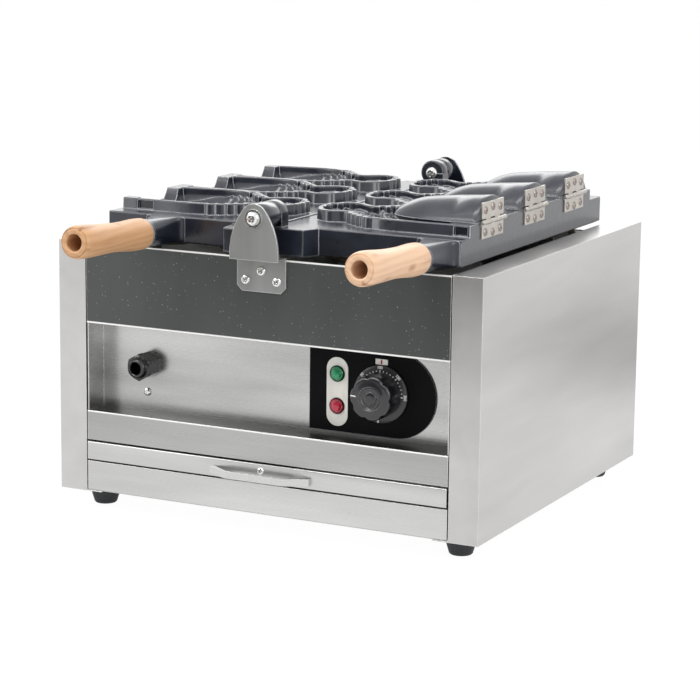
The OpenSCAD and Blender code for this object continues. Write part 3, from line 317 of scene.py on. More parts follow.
def lens_glass(name, colour, dark):
    """Moulded lamp lens with small facets inside and a dark rim."""
    f = Finish(name, Coat_Weight=0.8, Coat_Roughness=0.06, Roughness=0.25, Emission_Strength=0.12)
    facets = f.node("ShaderNodeTexVoronoi", {"Vector": f.place(), "Scale": 1 / 1.7}, out="Distance")
    soft, rim = f.edges(0.8)
    tone = f.mix(rim, f.mix(f.steps(facets, 0.1, 0.75), colour, dark), (0.004, 0.004, 0.004))
    f.set(Base_Color=tone, Emission_Color=tone, Normal=f.bump(facets, 0.2, 0.5, soft))
    return f.material


def heated_metal():
    """Heating tube: dark with heat tints along its length."""
    f = Finish("heated_metal", Metallic=0.9)
    tint = f.noise(30, detail=2)
    fine = f.noise(1.0)
    tone = f.mix(f.steps(tint, 0.3, 0.7), (0.16, 0.15, 0.14), (0.30, 0.24, 0.18))
    f.set(Base_Color=tone, Roughness=(fine - 0.5) * 0.3 + 0.48, Normal=f.bump(fine, 0.04, 0.4))
    return f.material


FINISHES = {
    "front_steel": brushed("front_steel", 0.60, "x", rough=0.3),
    "bar_steel": brushed("bar_steel", 0.44, "x", rough=0.3, fold=("lower_front_bar", 0.0, 1.4), ledge_painted_shade=0.26),
    "recess_steel": brushed("recess_steel", 0.50, "x", rough=0.26, cloud=0.5, ledge_painted_shade=0.26),
    "side_steel": brushed("side_steel", 0.60, "y", rough=0.34, streak=0.05, cloud=0.2,
                          colour=(1.0, 0.99, 0.975)),
    "pan_steel": brushed("pan_steel", 0.45, "y", rough=0.42, cloud=0.1),
    "plate_steel": brushed("plate_steel", 0.40, "z", rough=0.42, streak=0.05, cloud=0.4,
                           colour=(0.98, 1.0, 0.985)),
    "hinge_steel": brushed("hinge_steel", 0.54, "z", rough=0.38, streak=0.2, colour=(1.0, 0.94, 0.87)),
    "bright_steel": hardware("bright_steel", 0.80, 0.16),
    "aged_screw": hardware("aged_screw", 0.34, 0.25, (1.0, 0.86, 0.78)),
    "chrome": hardware("chrome", 0.62, 0.13),
    "cast_coating": cast_coating("cast_coating", 0.82, 0.12),
    "core_coating": cast_coating("core_coating", 0.55, 0.15, 0.36),
    "enamel": speckled_enamel(),
    "left_wood": turned_wood("left_wood", (0.50, 0.255, 0.105), (0.66, 0.385, 0.205)),
    "right_wood": turned_wood("right_wood", (0.66, 0.39, 0.225), (0.80, 0.545, 0.365)),
    "black_gloss": moulded("black_gloss", (0.003, 0.003, 0.004), 0.3, coat=0.9, grain=0.1, edge=0.1,
                           shine=0.3),
    "seat_black": moulded("seat_black", (0.003, 0.003, 0.003), 0.5, grain=0.0, edge=0.0, shine=0.05),
    "black_plate": moulded("black_plate", (0.004, 0.004, 0.005), 0.5, grain=0.1, edge=0.75, shine=0.08),
    "knob_grey": moulded("knob_grey", (0.009, 0.009, 0.012), 0.3, coat=0.8, grain=0.15, edge=0.6),
    "skirt_grey": moulded("skirt_grey", (0.018, 0.019, 0.021), 0.35, coat=0.5, grain=0.15, edge=0.5),
    "rubber": moulded("rubber", (0.035, 0.038, 0.040), 0.7, grain=0.6, edge=0.0),
    "cream": moulded("cream", (0.84, 0.82, 0.76), 0.45, edge=0.3),
    "mark_white": moulded("mark_white", (0.88, 0.88, 0.87), 0.5, grain=0.0, edge=0.0),
    "mark_red": moulded("mark_red", (0.5, 0.01, 0.02), 0.5, grain=0.0, edge=0.0),
    "ceramic": moulded("ceramic", (0.72, 0.70, 0.64), 0.6),
    "green_lens": lens_glass("green_lens", (0.0, 0.34, 0.12), (0.0, 0.15, 0.06)),
    "red_lens": lens_glass("red_lens", (0.62, 0.01, 0.05), (0.30, 0.0, 0.02)),
    "heated_metal": heated_metal(),
}

NODE_FINISH = {
    "front_steel": ["front_skirt", "drawer_front"],
    "bar_steel": ["lower_front_bar"],
    "recess_steel": ["control_panel"],
    "side_steel": ["left_side_panel", "right_side_panel", "crumb_tray"],
    "pan_steel": ["base_pan", "back_panel", "reflector_pan", "drawer_runners", "heating_tube_supports"],
    "plate_steel": ["front_hinge_bracket"],
    "hinge_steel": ["core_hinge_lower_leaves", "front_core_leaf", "middle_core_leaf", "rear_core_leaf"],
    "bright_steel": ["foot_screws", "bracket_screws", "front_pivot_bolt", "rear_pivot_bolt", "pivot_nuts",
                     "pivot_washers", "core_hinge_pins", "earth_screw", "drawer_screw",
                     "left_handle_rod", "right_handle_rod"],
    "aged_screw": ["lower_leaf_screws", "front_leaf_screws", "middle_leaf_screws", "rear_leaf_screws"],
    "chrome": ["drawer_pull"],
    "cast_coating": ["left_mould_half", "right_mould_half", "front_mouth_core", "middle_mouth_core",
                     "rear_mouth_core", "left_handle_boss", "right_handle_boss", "rear_hinge_bracket"],
    "enamel": ["upper_front_panel"],
    "left_wood": ["left_wooden_grip"],
    "right_wood": ["right_wooden_grip"],
    "black_gloss": ["cable_gland", "gland_locknut"],
    "black_plate": ["control_bezel", "thermostat"],
    "knob_grey": ["dial_knob"],
    "rubber": ["rubber_feet"],
    "cream": ["lamp_plate", "dial_index"],
    "ceramic": ["heater_terminals", "terminal_block"],
    "green_lens": ["power_lamp"],
    "red_lens": ["heat_lamp"],
    "heated_metal": ["left_heating_tube", "right_heating_tube"],
}
for finish, names in NODE_FINISH.items():
    for name in names:
        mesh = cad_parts[name].data
        mesh.materials.clear()
        mesh.materials.append(FINISHES[finish])

# Building blocks


@contextmanager
def mesh_of(made):
    """A piece's mesh to work on, written back at the end."""
    work = bmesh.new()
    work.from_mesh(made.data)
    yield work
    work.to_mesh(made.data)
    work.free()


def solid(name, points, faces):
    """A mesh object from points in millimetres, in the cabinet's frame."""
    mesh = bpy.data.meshes.new(name)
    mesh.from_pydata([tuple(p) for p in points], [], faces)
    mesh.validate()
    made = bpy.data.objects.new(name, mesh)
    bpy.context.scene.collection.objects.link(made)
    with mesh_of(made) as work:
        bmesh.ops.recalc_face_normals(work, faces=work.faces)
    return made


def loft(name, rings, caps=True):
    """A closed skin through rings of equally many points."""
    count = len(rings[0])
    points = [p for ring in rings for p in ring]
    faces = []
    for here in range(0, len(points) - count, count):
        above = here + count
        for i in range(count):
            after = (i + 1) % count
            faces.append((here + i, here + after, above + after, above + i))
    if caps:
        last = (len(rings) - 1) * count
        faces += [tuple(reversed(range(count))), tuple(last + i for i in range(count))]
    return solid(name, points, faces)


def lathe(name, profile, origin, axis, around=64, caps=True):
    """A closed turned piece: profile of (radius, distance along the axis)."""
    turn = Vector(axis).to_track_quat("Z", "Y").to_matrix()
    rings = []
    for radius, height in profile:
        rings.append([Vector(origin) + turn @ Vector((radius * math.cos(2 * math.pi * i / around),
                                                      radius * math.sin(2 * math.pi * i / around), height))
                      for i in range(around)])
    return loft(name, rings, caps)


def rounded_box(name, low, high, radius=1.0):
    """A box with rounded edges."""
    (x0, y0, z0), (x1, y1, z1) = low, high
    points = [(x, y, z) for z in (z0, z1) for y in (y0, y1) for x in (x0, x1)]
    faces = [(0, 2, 3, 1), (4, 5, 7, 6), (0, 1, 5, 4), (2, 6, 7, 3), (0, 4, 6, 2), (1, 3, 7, 5)]
    return rounded(solid(name, points, faces), radius)


def cabinet_box(node):
    """Lowest and highest corner of a CAD node in the cabinet's millimetres."""
    return [TO_ROW.inverted() @ Vector(corner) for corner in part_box(node)]


def rounded(made, radius, pick=lambda edge: True):
    """Rounds a plain solid's edges."""
    with mesh_of(made) as work:
        chosen = [e for e in work.edges if e.calc_face_angle(0) > 0.3 and pick(e)]
        bmesh.ops.bevel(work, geom=chosen, offset=radius, segments=3, profile=0.5, affect="EDGES",
                        clamp_overlap=True)
    return made


def prism(name, outline, low, high):
    """An upright prism on an outline of (x, y)."""
    return loft(name, [[(x, y, z) for x, y in outline] for z in (low, high)])


def clean(made, near=0.004):
    """Merges points that a cut left on one another, and splits faces of many corners into triangles."""
    with mesh_of(made) as work:
        bmesh.ops.remove_doubles(work, verts=work.verts, dist=near)
        bmesh.ops.dissolve_degenerate(work, edges=work.edges, dist=near)
        bmesh.ops.triangulate(work, faces=[face for face in work.faces if len(face.verts) > 4])
    return made


def gridded(made, step=15.7, margin=4):
    """Splits a solid along X and Y, so that no face lies round a whole fish."""
    with mesh_of(made) as work:
        for axis in (0, 1):
            places = [v.co[axis] for v in work.verts]
            where = min(places) + step
            while where < max(places) - margin:
                point, way = Vector(), Vector()
                point[axis], way[axis] = where, 1
                bmesh.ops.bisect_plane(work, geom=work.verts[:] + work.edges[:] + work.faces[:],
                                       plane_co=point, plane_no=way)
                where += step
    return made


def combine(target, tools, operation):
    """Joins or cuts closed solids, and removes the tools."""
    for tool in tools:
        change = target.modifiers.new("shape", "BOOLEAN")
        change.operation, change.solver, change.object = operation, "MANIFOLD", tool
        graph = bpy.context.evaluated_depsgraph_get()
        mesh = bpy.data.meshes.new_from_object(target.evaluated_get(graph))
        target.modifiers.clear()
        target.data = mesh
        bpy.data.objects.remove(tool)
    return target


def dress(made, finish, body, nodes=(), crease=38, level=False):
    """Takes a piece to the row's frame, smooths it, gives it a finish and lets it ride on a body."""
    flat = [level and max(map(abs, face.normal)) > 0.9999 for face in made.data.polygons]
    made.data.transform(TO_ROW)
    made.data.polygons.foreach_set("use_smooth", [True] * len(flat))
    made.data.set_sharp_from_angle(angle=math.radians(crease))
    for face in made.data.polygons:
        face.use_smooth = not flat[face.index]
    made.data.materials.clear()
    made.data.materials.append(FINISHES[finish])
    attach(made, body)
    if nodes:
        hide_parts(*nodes)
    return made


# Mould halves

PITCH, MOULD_FRONT, MOULD_REAR, FRONT_MARGIN, CORE_SHIFT = 109, 27, 400, 23, 5
TRAY_LOW, TRAY_TOP, RIM_TOP, PLANE = 267.6, 294.8, 306.45, 306.6
RIM, CAVITY_END, FIN_DEPTH, BODY_DEPTH = 5.5, 178, 9, 31.5
RIGHT_REACH, LEFT_REACH, MOUTH_END = 204, 196, 192
AXIS_GAP, EAR_REACH, BLOCK_FOOT, BAR_MARGIN, POCKET_Y = 2, 14, 49, 50.5, (10, 24.5)
NOTCH_RADIUS, BOLT_BORE, NUT_ROOM, LENS_CENTRE, CHANNEL_RADIUS = 15.2, 5.05, 9.7, 18.0, 43.0
FISH_Y = [MOULD_FRONT + FRONT_MARGIN + PITCH * (row + 0.5) for row in range(3)]
CORE_Y = [y - CORE_SHIFT for y in FISH_Y]

# Outline of the rim from the mouth's near corner round the tail to its far corner, as distance from the fold
# axis and place along the row, then the centres of the scallops on fins and tail, and their radius

FISH = [(192, -56), (150, -56), (118, -56), (98, -54), (84, -48), (72, -38.5), (62, -30.5), (50, -27),
        (35, -31.5), (21, -23), (12.5, -5), (13.5, 12), (20, 28), (32, 37), (46, 34), (60, 24.5),
        (70, 26.5), (80, 35), (90, 47), (106, 55), (128, 57), (158, 52.5), (192, 46)]
LOBES = [(66, -30), (74, -36), (82, -42), (91, -46.5), (71, 23), (79, 30), (86, 38), (94, 46),
         (18.5, 15), (19, 5), (20.5, -6), (25, -16), (27, 27)]
LOBE = 3.4
BOWL_HALF, BOWL_RISE = 48, BODY_DEPTH - FIN_DEPTH
BOWL_CENTRE = (BOWL_HALF ** 2 + BOWL_RISE ** 2) / (2 * BOWL_RISE) - BODY_DEPTH
WALL_POINTS, FLOOR_STEPS, FLOOR_SHARE, EDGE_INSET, FOOT_INSET = 34, 34, 0.985, 0.9, 2.2

# Relief of a fish, in the outline's places: where it starts and ends, where its rays meet, and its sizes

FIN_SPAN, FIN_ROOT, FIN_RAY, FIN_TURN = (58, 130), (132, 5), 4.2, 12
TAIL_SPAN, TAIL_ROOT, TAIL_RAY, TAIL_TURN = (10, 60), (76, 2), 2.8, 11
SCALE_SPAN, SCALE_PITCH, SCALE_REACH, SCALE_RELIEF = (72, 140), 8.5, 6.4, 1.0
GILL_PLACE, GILL_RADIUS, GILL_WIDTH, GILL_RELIEF, HEAD_START = (168, -1), 26, 1.8, 1.6, 160
EYE_PLACE, EYE_RADIUS, EYE_RELIEF, RING_RADIUS, RING_WIDTH, RING_RELIEF = (160, 17), 4.2, 2.2, 6.4, 1.1, 0.9


def spline(points, steps):
    """Smooth curve through points."""
    found = []
    for i in range(len(points) - 1):
        a, b, c, d = (Vector(points[min(max(i + k, 0), len(points) - 1)]) for k in (-1, 0, 1, 2))
        for s in range(steps):
            t = s / steps
            found.append(0.5 * (2 * b + (c - a) * t + (2 * a - 5 * b + 4 * c - d) * t ** 2
                                + (3 * b - a - 3 * c + d) * t ** 3))
    return found + [Vector(points[-1])]


def outward(line):
    """Unit normals of a line that runs round the fish from near to far."""
    normals = []
    for i in range(len(line)):
        along = (line[min(i + 1, len(line) - 1)] - line[max(i - 1, 0)]).normalized()
        normals.append(Vector((-along.y, along.x)))
    return normals


def fish_line(inset, lobe):
    """Outline of a fish from the near mouth corner to the far one, with its scalloped fins."""
    base = spline(FISH, 14)
    ways = outward(base)
    line = [p - n * inset for p, n in zip(base, ways)]
    for i, (p, n) in enumerate(zip(list(line), ways)):
        push = 0
        for centre in LOBES:
            away = p - Vector(centre)
            inside = lobe ** 2 - away.length_squared
            if inside > 0:
                push = max(push, math.sqrt(away.dot(n) ** 2 + inside) - away.dot(n))
        line[i] = p + n * push
    return line


def cut_at(line, end, steps):
    """The part of the line before the end wall, closed by points along the wall."""
    kept = [p for p in line if p.x < end]
    near, far = kept[0].y, kept[-1].y
    wall = [Vector((end, far + (near - far) * (i + 0.5) / steps)) for i in range(steps)]
    corners = [Vector((end, near)), Vector((end, far))]
    return [corners[0]] + kept + [corners[1]] + wall[1:-1]


def ring_normals(ring):
    """Outward unit normals of a closed ring."""
    count = len(ring)
    normals = []
    for i in range(count):
        along = (ring[(i + 1) % count] - ring[i - 1]).normalized()
        normals.append(Vector((-along.y, along.x)))
    return normals


def smooth(value, low, high):
    """0 below low, 1 above high, with a soft turn."""
    t = min(1, max(0, (value - low) / (high - low)))
    return t * t * (3 - 2 * t)


def bowl(u, v):
    """Depth of the fish's body below the parting plane."""
    lift = math.sin(math.pi / 2 * min(1, max(0, (u - 52) / 70)) ** 1.35)
    radius = BOWL_CENTRE + FIN_DEPTH - 1 + (BODY_DEPTH - FIN_DEPTH + 1) * lift - 6 * smooth(u, 171, 178) ** 2
    inside = radius ** 2 - v ** 2
    return math.sqrt(inside) - BOWL_CENTRE if inside > 0 else -20


def scale_height(u, v):
    """Overlapping scales on the body, highest at their free edge."""
    column = round(u / SCALE_PITCH)
    for i in (column - 1, column, column + 1, column + 2):
        shift = (i % 2) * SCALE_PITCH / 2
        row = round((v - shift) / SCALE_PITCH)
        for j in (row - 1, row, row + 1):
            away = math.hypot(u - i * SCALE_PITCH, v - shift - j * SCALE_PITCH)
            if away < SCALE_REACH:
                return (away / SCALE_REACH) ** 3
    return 0


def pleat(across, along, width):
    """Height of folded rays of that many degrees that fan out from a root, 1 on each crest."""
    turn = math.degrees(math.atan2(across, along)) / width
    return 1 - abs(2 * (turn % 1) - 1) ** 0.9


def fish_depth(u, v):
    """Depth of the cavity with rays on the fins and the tail, scales, a gill and an eye."""
    body = bowl(u, v)
    depth = 0.5 * (body + FIN_DEPTH + math.sqrt((body - FIN_DEPTH) ** 2 + 3))
    fin = smooth(FIN_DEPTH + 7 - body, 0, 7) * smooth(u, FIN_SPAN[0], FIN_SPAN[0] + 8)
    fin *= smooth(FIN_SPAN[1] - u, 0, 14)
    root = math.copysign(FIN_ROOT[1], v or -1)
    depth -= FIN_RAY * fin * pleat(v - root, FIN_ROOT[0] - u, FIN_TURN)
    tail = smooth(TAIL_SPAN[1] - u, 0, 8) * smooth(u, TAIL_SPAN[0], TAIL_SPAN[0] + 8)
    depth -= TAIL_RAY * tail * pleat(v - TAIL_ROOT[1], TAIL_ROOT[0] - u, TAIL_TURN)
    scaled = smooth(u, SCALE_SPAN[0], SCALE_SPAN[0] + 10) * smooth(SCALE_SPAN[1] - u, 0, 5)
    scaled *= smooth(body - FIN_DEPTH, 1.5, 5)
    depth -= SCALE_RELIEF * scaled * scale_height(u, v)
    if u < HEAD_START:
        gill = abs(math.hypot(u - GILL_PLACE[0], v - GILL_PLACE[1]) - GILL_RADIUS)
        depth -= GILL_RELIEF * max(0, 1 - gill / GILL_WIDTH) * smooth(body - FIN_DEPTH, 2, 5)
    eye = math.hypot(u - EYE_PLACE[0], v - EYE_PLACE[1])
    depth -= EYE_RELIEF * math.sqrt(max(0, 1 - (eye / EYE_RADIUS) ** 2))
    depth -= RING_RELIEF * max(0, 1 - abs(eye - RING_RADIUS) / RING_WIDTH)
    return depth


def fish_cutter(name, centre_y):
    """Closed solid that carves one fish: rounded rim edge, wall, fin floor and body."""
    ring = cut_at(fish_line(RIM, LOBE), CAVITY_END, WALL_POINTS)
    ways = ring_normals(ring)
    rings = []
    for out, z in [(1.3, PLANE + 3), (1.3, RIM_TOP + 0.01), (0.75, RIM_TOP - 0.12), (0.25, RIM_TOP - 0.5),
                   (0, RIM_TOP - 1.3)] + [(-0.1 * k, RIM_TOP - 1.3 - 1.1 * k) for k in range(1, 6)]:
        rings.append([(p.x + n.x * out, p.y + n.y * out, z) for p, n in zip(ring, ways)])
    edge = [p - n * EDGE_INSET for p, n in zip(ring, ways)]
    foot = [p - n * FOOT_INSET for p, n in zip(ring, ways)]
    spine = [Vector((min(max(p.x, 34), 164), 2.5 - 3.5 * smooth(p.x, 44, 66))) for p in foot]
    rings.append([(p.x, p.y, PLANE - min(FIN_DEPTH - 0.9, fish_depth(p.x, p.y) - 0.9)) for p in edge])
    for k in range(FLOOR_STEPS):
        share = k / FLOOR_STEPS * FLOOR_SHARE
        line = [p.lerp(middle, share) for p, middle in zip(foot, spine)]
        rings.append([(p.x, p.y, PLANE - fish_depth(p.x, p.y)) for p in line])
    return loft(name, [[(x, y + centre_y, z) for x, y, z in ring] for ring in rings])


def rim_wall(name, centre_y, reach):
    """Raised wall round one fish, with a rounded outer edge and a small foot."""
    line = fish_line(0, LOBE + RIM * 0.85)
    ring = [p for p in line if p.x < reach - 0.5]
    ring = [Vector((reach - 0.5, ring[0].y))] + ring + [Vector((reach - 0.5, ring[-1].y))]
    ways = outward(ring)
    rings = []
    for out, z in [(1.6, TRAY_TOP - 2), (1.6, TRAY_TOP), (0.9, TRAY_TOP + 0.25), (0.55, TRAY_TOP + 1.0),
                   (0.1, RIM_TOP - 1.2), (-0.2, RIM_TOP - 0.5), (-0.65, RIM_TOP - 0.12), (-1.25, RIM_TOP)]:
        rings.append([(p.x + n.x * out * (abs(p.x - reach + 0.5) >= 0.01), p.y + centre_y + n.y * out, z)
                      for p, n in zip(ring, ways)])
    return loft(name, rings)


def across(x, z, radius, low, high, name):
    """A cylinder along Y."""
    return lathe(name, [(radius, 0), (radius, high - low)], (x, low, z), (0, 1, 0), 72)


def ear(low, high, web_low, web_high):
    """Round hinge ear with rounded rims, and the web that carries it."""
    width = high - low
    profile = [(12.8, 0), (13.6, 0.4), (14, 1.2), (14, width - 1.2), (13.6, width - 0.4), (12.8, width)]
    drum = lathe("ear", profile, (0, low, PLANE), (0, 1, 0), 72)
    web = rounded_box("web", (AXIS_GAP, web_low, TRAY_LOW), (EAR_REACH, web_high, PLANE), 0.6)
    return [drum, web]


def ear_block(free, tray, far, top):
    """Block between a mould half and its ear, with its corner cut back."""
    outline = [(AXIS_GAP, free), (far, free), (BLOCK_FOOT, tray), (AXIS_GAP, tray)]
    if free > tray:
        outline.reverse()
    made = prism("block", outline, TRAY_LOW, top)
    return rounded(made, 1.2, lambda e: all(abs(v.co.y - tray) > 0.1 for v in e.verts) or
                   (e.verts[0].co - e.verts[1].co).length > 60)


def cast_half(name, reach, end_reach, ears, blocks, notches, bores, channels, pocket):
    """One cast half on the +X side.

    Along Y, an ear is its ends and its web's ends, and a notch or a bore its two ends. A block is its free
    end and the tray's along Y, its reach and its top. A pocket is its two ends along X.
    """
    parts = []
    for low, high, web_low, web_high in ears:
        parts += ear(low, high, web_low, web_high)
    for block in blocks:
        parts.append(ear_block(*block))
    for y in FISH_Y:
        parts.append(rim_wall("rim", y, end_reach))
    bar_low = TRAY_LOW + 4 if end_reach == reach else TRAY_TOP - 1
    parts.append(rounded_box("end_bar", (CAVITY_END, CORE_Y[0] - BAR_MARGIN, bar_low),
                             (end_reach, CORE_Y[2] + BAR_MARGIN, RIM_TOP + 0.02), 0.9))
    made = gridded(rounded_box(name, (AXIS_GAP, MOULD_FRONT, TRAY_LOW), (reach, MOULD_REAR, TRAY_TOP), 1.3))
    combine(made, parts, "UNION")
    tools = [fish_cutter("fish", y) for y in FISH_Y]
    tools += [across(0, PLANE, NOTCH_RADIUS, low, high, "notch") for low, high in notches]
    tools += [across(0, PLANE, BOLT_BORE, low, high, "bore") for low, high in bores]
    tools += channels
    tools.append(rounded_box("pocket", (pocket[0], MOULD_FRONT + POCKET_Y[0], TRAY_TOP + 1),
                             (pocket[1], MOULD_FRONT + POCKET_Y[1], RIM_TOP - 1.6), 0.4))
    return combine(made, tools, "DIFFERENCE")


def lens_ring(x, y, radius, low=None):
    """Cross-section of a core: two arcs, or one arc on a flat."""
    half = math.sqrt(radius ** 2 - LENS_CENTRE ** 2)
    span = [half * math.sin(math.pi / 2 * (i / 16 - 1)) for i in range(33)]
    arc = [math.sqrt(radius ** 2 - s ** 2) - LENS_CENTRE for s in span]
    upper = [(x, y + s, PLANE + max(0.15, rise)) for s, rise in zip(span, arc)]
    lower = [(x, y + s, PLANE - rise if low is None else PLANE + low) for s, rise in zip(span, arc)]
    return upper + lower[-2:0:-1]


def channel(y):
    """Cutter for the end of a core in the left half."""
    return loft("channel", [lens_ring(x, y, CHANNEL_RADIUS) for x in (CAVITY_END - 3.5, RIGHT_REACH)])


left = cast_half("left_mould_casting", LEFT_REACH, MOUTH_END,
                 ears=[(-14, 13, 0.5, 13), (416.1, 429.5, 416.0, 429.5)],
                 blocks=[(0.5, MOULD_FRONT, 45, TRAY_TOP - 3), (429.5, MOULD_REAR, 45, TRAY_TOP - 3)],
                 notches=[(14, 29.6), (399.8, 415.1)], bores=[(-16, 15), (414, 431)],
                 channels=[channel(y) for y in CORE_Y], pocket=(155, 174))
left.data.transform(Matrix.Scale(-1, 4, (1, 0, 0)))
left.data.flip_normals()
dress(clean(left), "cast_coating", "left_mould", ["left_mould_half"], level=True)

right = cast_half("right_mould_casting", RIGHT_REACH, RIGHT_REACH,
                  ears=[(14.5, 29, 14.5, 29), (400.4, 414.6, 400, 414.6)],
                  blocks=[(8, MOULD_FRONT, 41, TRAY_TOP), (414.6, MOULD_REAR, 41, TRAY_TOP)],
                  notches=[(-16, 13.5), (415.1, 440)], bores=[(13, 30.5), (399, 416)],
                  channels=[], pocket=(186, 201))
combine(right, [across(0, PLANE, NUT_ROOM, 29, 38, "nut_room")], "DIFFERENCE")
dress(clean(right), "cast_coating", "right_mould", ["right_mould_half"], level=True)

# Mouth cores: shares of the length and of the height, from the tip to the hinged end

CORE_TIP, CORE_LENGTH, CORE_HEIGHT = 102, 102, 24.5
CORE_SHAPE = [(0.0, 0.02), (0.006, 0.1), (0.02, 0.2), (0.045, 0.3), (0.078, 0.39), (0.12, 0.48),
              (0.176, 0.584), (0.284, 0.718), (0.37, 0.773), (0.47, 0.816), (0.667, 0.898),
              (0.737, 0.92)]
CORE_SEAT = [(0.737, 0.92), (0.863, 0.955), (0.94, 0.985), (0.988, 1.0), (0.996, 0.985), (1.0, 0.955)]


def core_station(share, height, low):
    """Place, radius and underside of a core's cross-section."""
    return CORE_TIP + CORE_LENGTH * share, LENS_CENTRE + CORE_HEIGHT * height, low


for word, y in zip(("front", "middle", "rear"), CORE_Y):
    stations = [core_station(share, height, None) for share, height in CORE_SHAPE]
    stations += [core_station(share, height, 0.15) for share, height in CORE_SEAT]
    core = loft(f"{word}_core_casting", [lens_ring(x, y, r, low) for x, r, low in stations])
    dress(core, "core_coating", f"core_{word}", [f"{word}_mouth_core"], crease=50)

# Handles: grips turned to a profile of radius and distance from the boss

HANDLE_X, HANDLE_Z, BOSS_END = {"left": -127.5, "right": 179.5}, TRAY_LOW + 14.1, -20
GRIP_TILT, GRIP_BORE, ROD_HOLE, CARVED = math.radians(3.4), 8.6, 4.1, 0.12
GRIP_SHAPE = [(12.6, 0), (14.2, 0.5), (15.2, 1.6), (15.9, 3.6), (16.05, 7), (16.1, 18), (15.7, 27),
              (15.1, 37), (14.75, 47), (14.6, 56), (14.75, 65), (15.1, 76), (15.6, 87), (16.2, 100),
              (16.55, 110), (16.6, 117), (16.3, 121), (15.6, 123.6), (14.9, 124.8), (14.5, 124.9),
              (14.3, 124.4), (14.0, 124.5), (13.6, 125.5), (12.6, 126), (10, 126), (9.2, 125.8),
              (GRIP_BORE, 125.1), (GRIP_BORE, 60), (GRIP_BORE, 12.2), (ROD_HOLE, 12.1), (ROD_HOLE, 0)]

for word, x in HANDLE_X.items():
    way = (0, -math.cos(GRIP_TILT), math.sin(GRIP_TILT))
    grip = lathe(f"{word}_turned_grip", GRIP_SHAPE, (x, BOSS_END, HANDLE_Z), way, 80)
    for vertex in grip.data.vertices:
        vertex.co.z += CARVED * math.sin(vertex.co.y / 9 + x)
    dress(grip, f"{word}_wood", f"{word}_mould", [f"{word}_wooden_grip"], crease=40)

# Handle bosses: a collar at the grip, then a block that flares into the mould's wall. Each station is its
# place along Y, its half width, its lowest and highest point, and how square it is

BOSS = [(-20, 14.0, 267.6, 295.9, 2), (-19.4, 14.8, 266.9, 296.5, 2), (-16.4, 14.8, 266.9, 296.4, 2),
        (-15.8, 14.0, 267.4, 295.7, 2.1), (-10, 14.0, 267.3, 295.3, 2.3), (0, 14.4, 267.2, 294.9, 2.9),
        (10, 15.0, 267.2, 294.6, 4), (18, 15.8, 267.3, 294.4, 6), (22, 17.0, 267.5, 294.4, 8),
        (25, 19.0, 267.6, 294.4, 10), (26.6, 21.6, 267.7, 294.4, 12), (27.4, 24.5, 267.8, 294.4, 14)]


def squared_ring(x, y, half, low, high, power, around=72):
    """A superellipse across the handle, from round to almost square."""
    ring = []
    for i in range(around):
        c, n = math.cos(2 * math.pi * i / around), math.sin(2 * math.pi * i / around)
        ring.append((x + half * math.copysign(abs(c) ** (2 / power), c), y,
                     (low + high) / 2 + (high - low) / 2 * math.copysign(abs(n) ** (2 / power), n)))
    return ring


for word, x in HANDLE_X.items():
    boss = loft(f"{word}_boss_casting", [squared_ring(x, *station) for station in BOSS])
    dress(boss, "core_coating", f"{word}_mould", [f"{word}_handle_boss"], crease=40)

# Cable gland: a hexagon on the panel and a hexagonal dome nut. Each station is its distance from the panel,
# its radius, and the width over its flats

GLAND = Vector((-151.5, 30, 135.6))
GLAND_SHAPE = [(0.2, 13.4, 24), (0.8, 13.8, 24), (8.4, 13.8, 24), (8.9, 13.0, 24), (9.0, 11.2, 40),
               (9.9, 11.2, 40), (10.1, 13.8, 25.4), (10.7, 14.5, 25.4), (17.4, 14.5, 25.4),
               (18.8, 13.2, 25.4), (19.6, 11.4, 30), (21.6, 10.7, 30), (23.6, 9.9, 30), (24.9, 9.0, 30),
               (25.5, 8.0, 30), (25.3, 7.2, 30), (24.6, 6.6, 30), (12, 6.1, 30), (2, 6.0, 30)]


def nut_ring(out, radius, flats, around=96):
    """A circle cut to a hexagon with that width over its flats."""
    ring = []
    for i in range(around):
        turn = 2 * math.pi * i / around
        side = (turn + math.pi / 6) % (math.pi / 3) - math.pi / 6
        here = min(radius, flats / 2 / math.cos(side))
        ring.append((GLAND.x + here * math.cos(turn), GLAND.y - out, GLAND.z + here * math.sin(turn)))
    return ring


dress(loft("gland_body", [nut_ring(*station) for station in GLAND_SHAPE]), "black_gloss", "cabinet",
      ["cable_gland"], crease=30)

# Drawer front

drawer_low, drawer_high = (Vector(corner) for corner in cabinet_box("drawer_front"))
gap = Vector((0.4, 0, 0.6))
drawer_face = rounded_box("drawer_face", drawer_low + gap, drawer_high - gap, 0.8)
dress(drawer_face, "front_steel", "drawer", ["drawer_front"])

# Dial marks

DIAL = Vector((120.1, 25.4, 134.0))
DIAL_TOP, DIAL_ZERO, TICK_TURN, TICKS_LEFT, TICKS_RIGHT, TICKS_PER_NUMBER = 91.4, -94, 9.3, 6, 10, 5
TICK_LOW, TICK_HIGH, LONGER_IN, LONGER_OUT, TICK_WIDTH = 23.1, 24.3, 0.5, 0.6, 1.0
TOP_NUMBER, NUMBER_STEP, NUMBER_RADIUS, NUMBER_SIZE, NUMBER_WEIGHT = 100, 50, 27.3, 4.0, 0.14
MARK_DEPTH = 0.25


def facing_bar(name, centre, out, length, width, finish, body, depth=MARK_DEPTH):
    """A thin raised bar on an upright face, along a direction in that face."""
    along = Vector((math.cos(out), math.sin(out)))
    side = Vector((-along.y, along.x))
    corners = [along * a * length / 2 + side * b * width / 2 for a, b in ((-1, -1), (1, -1), (1, 1), (-1, 1))]
    made = loft(name, [[(centre.x + c.x, y, centre.z + c.y) for c in corners]
                       for y in (centre.y - depth, centre.y + 0.1)])
    return dress(made, finish, body)


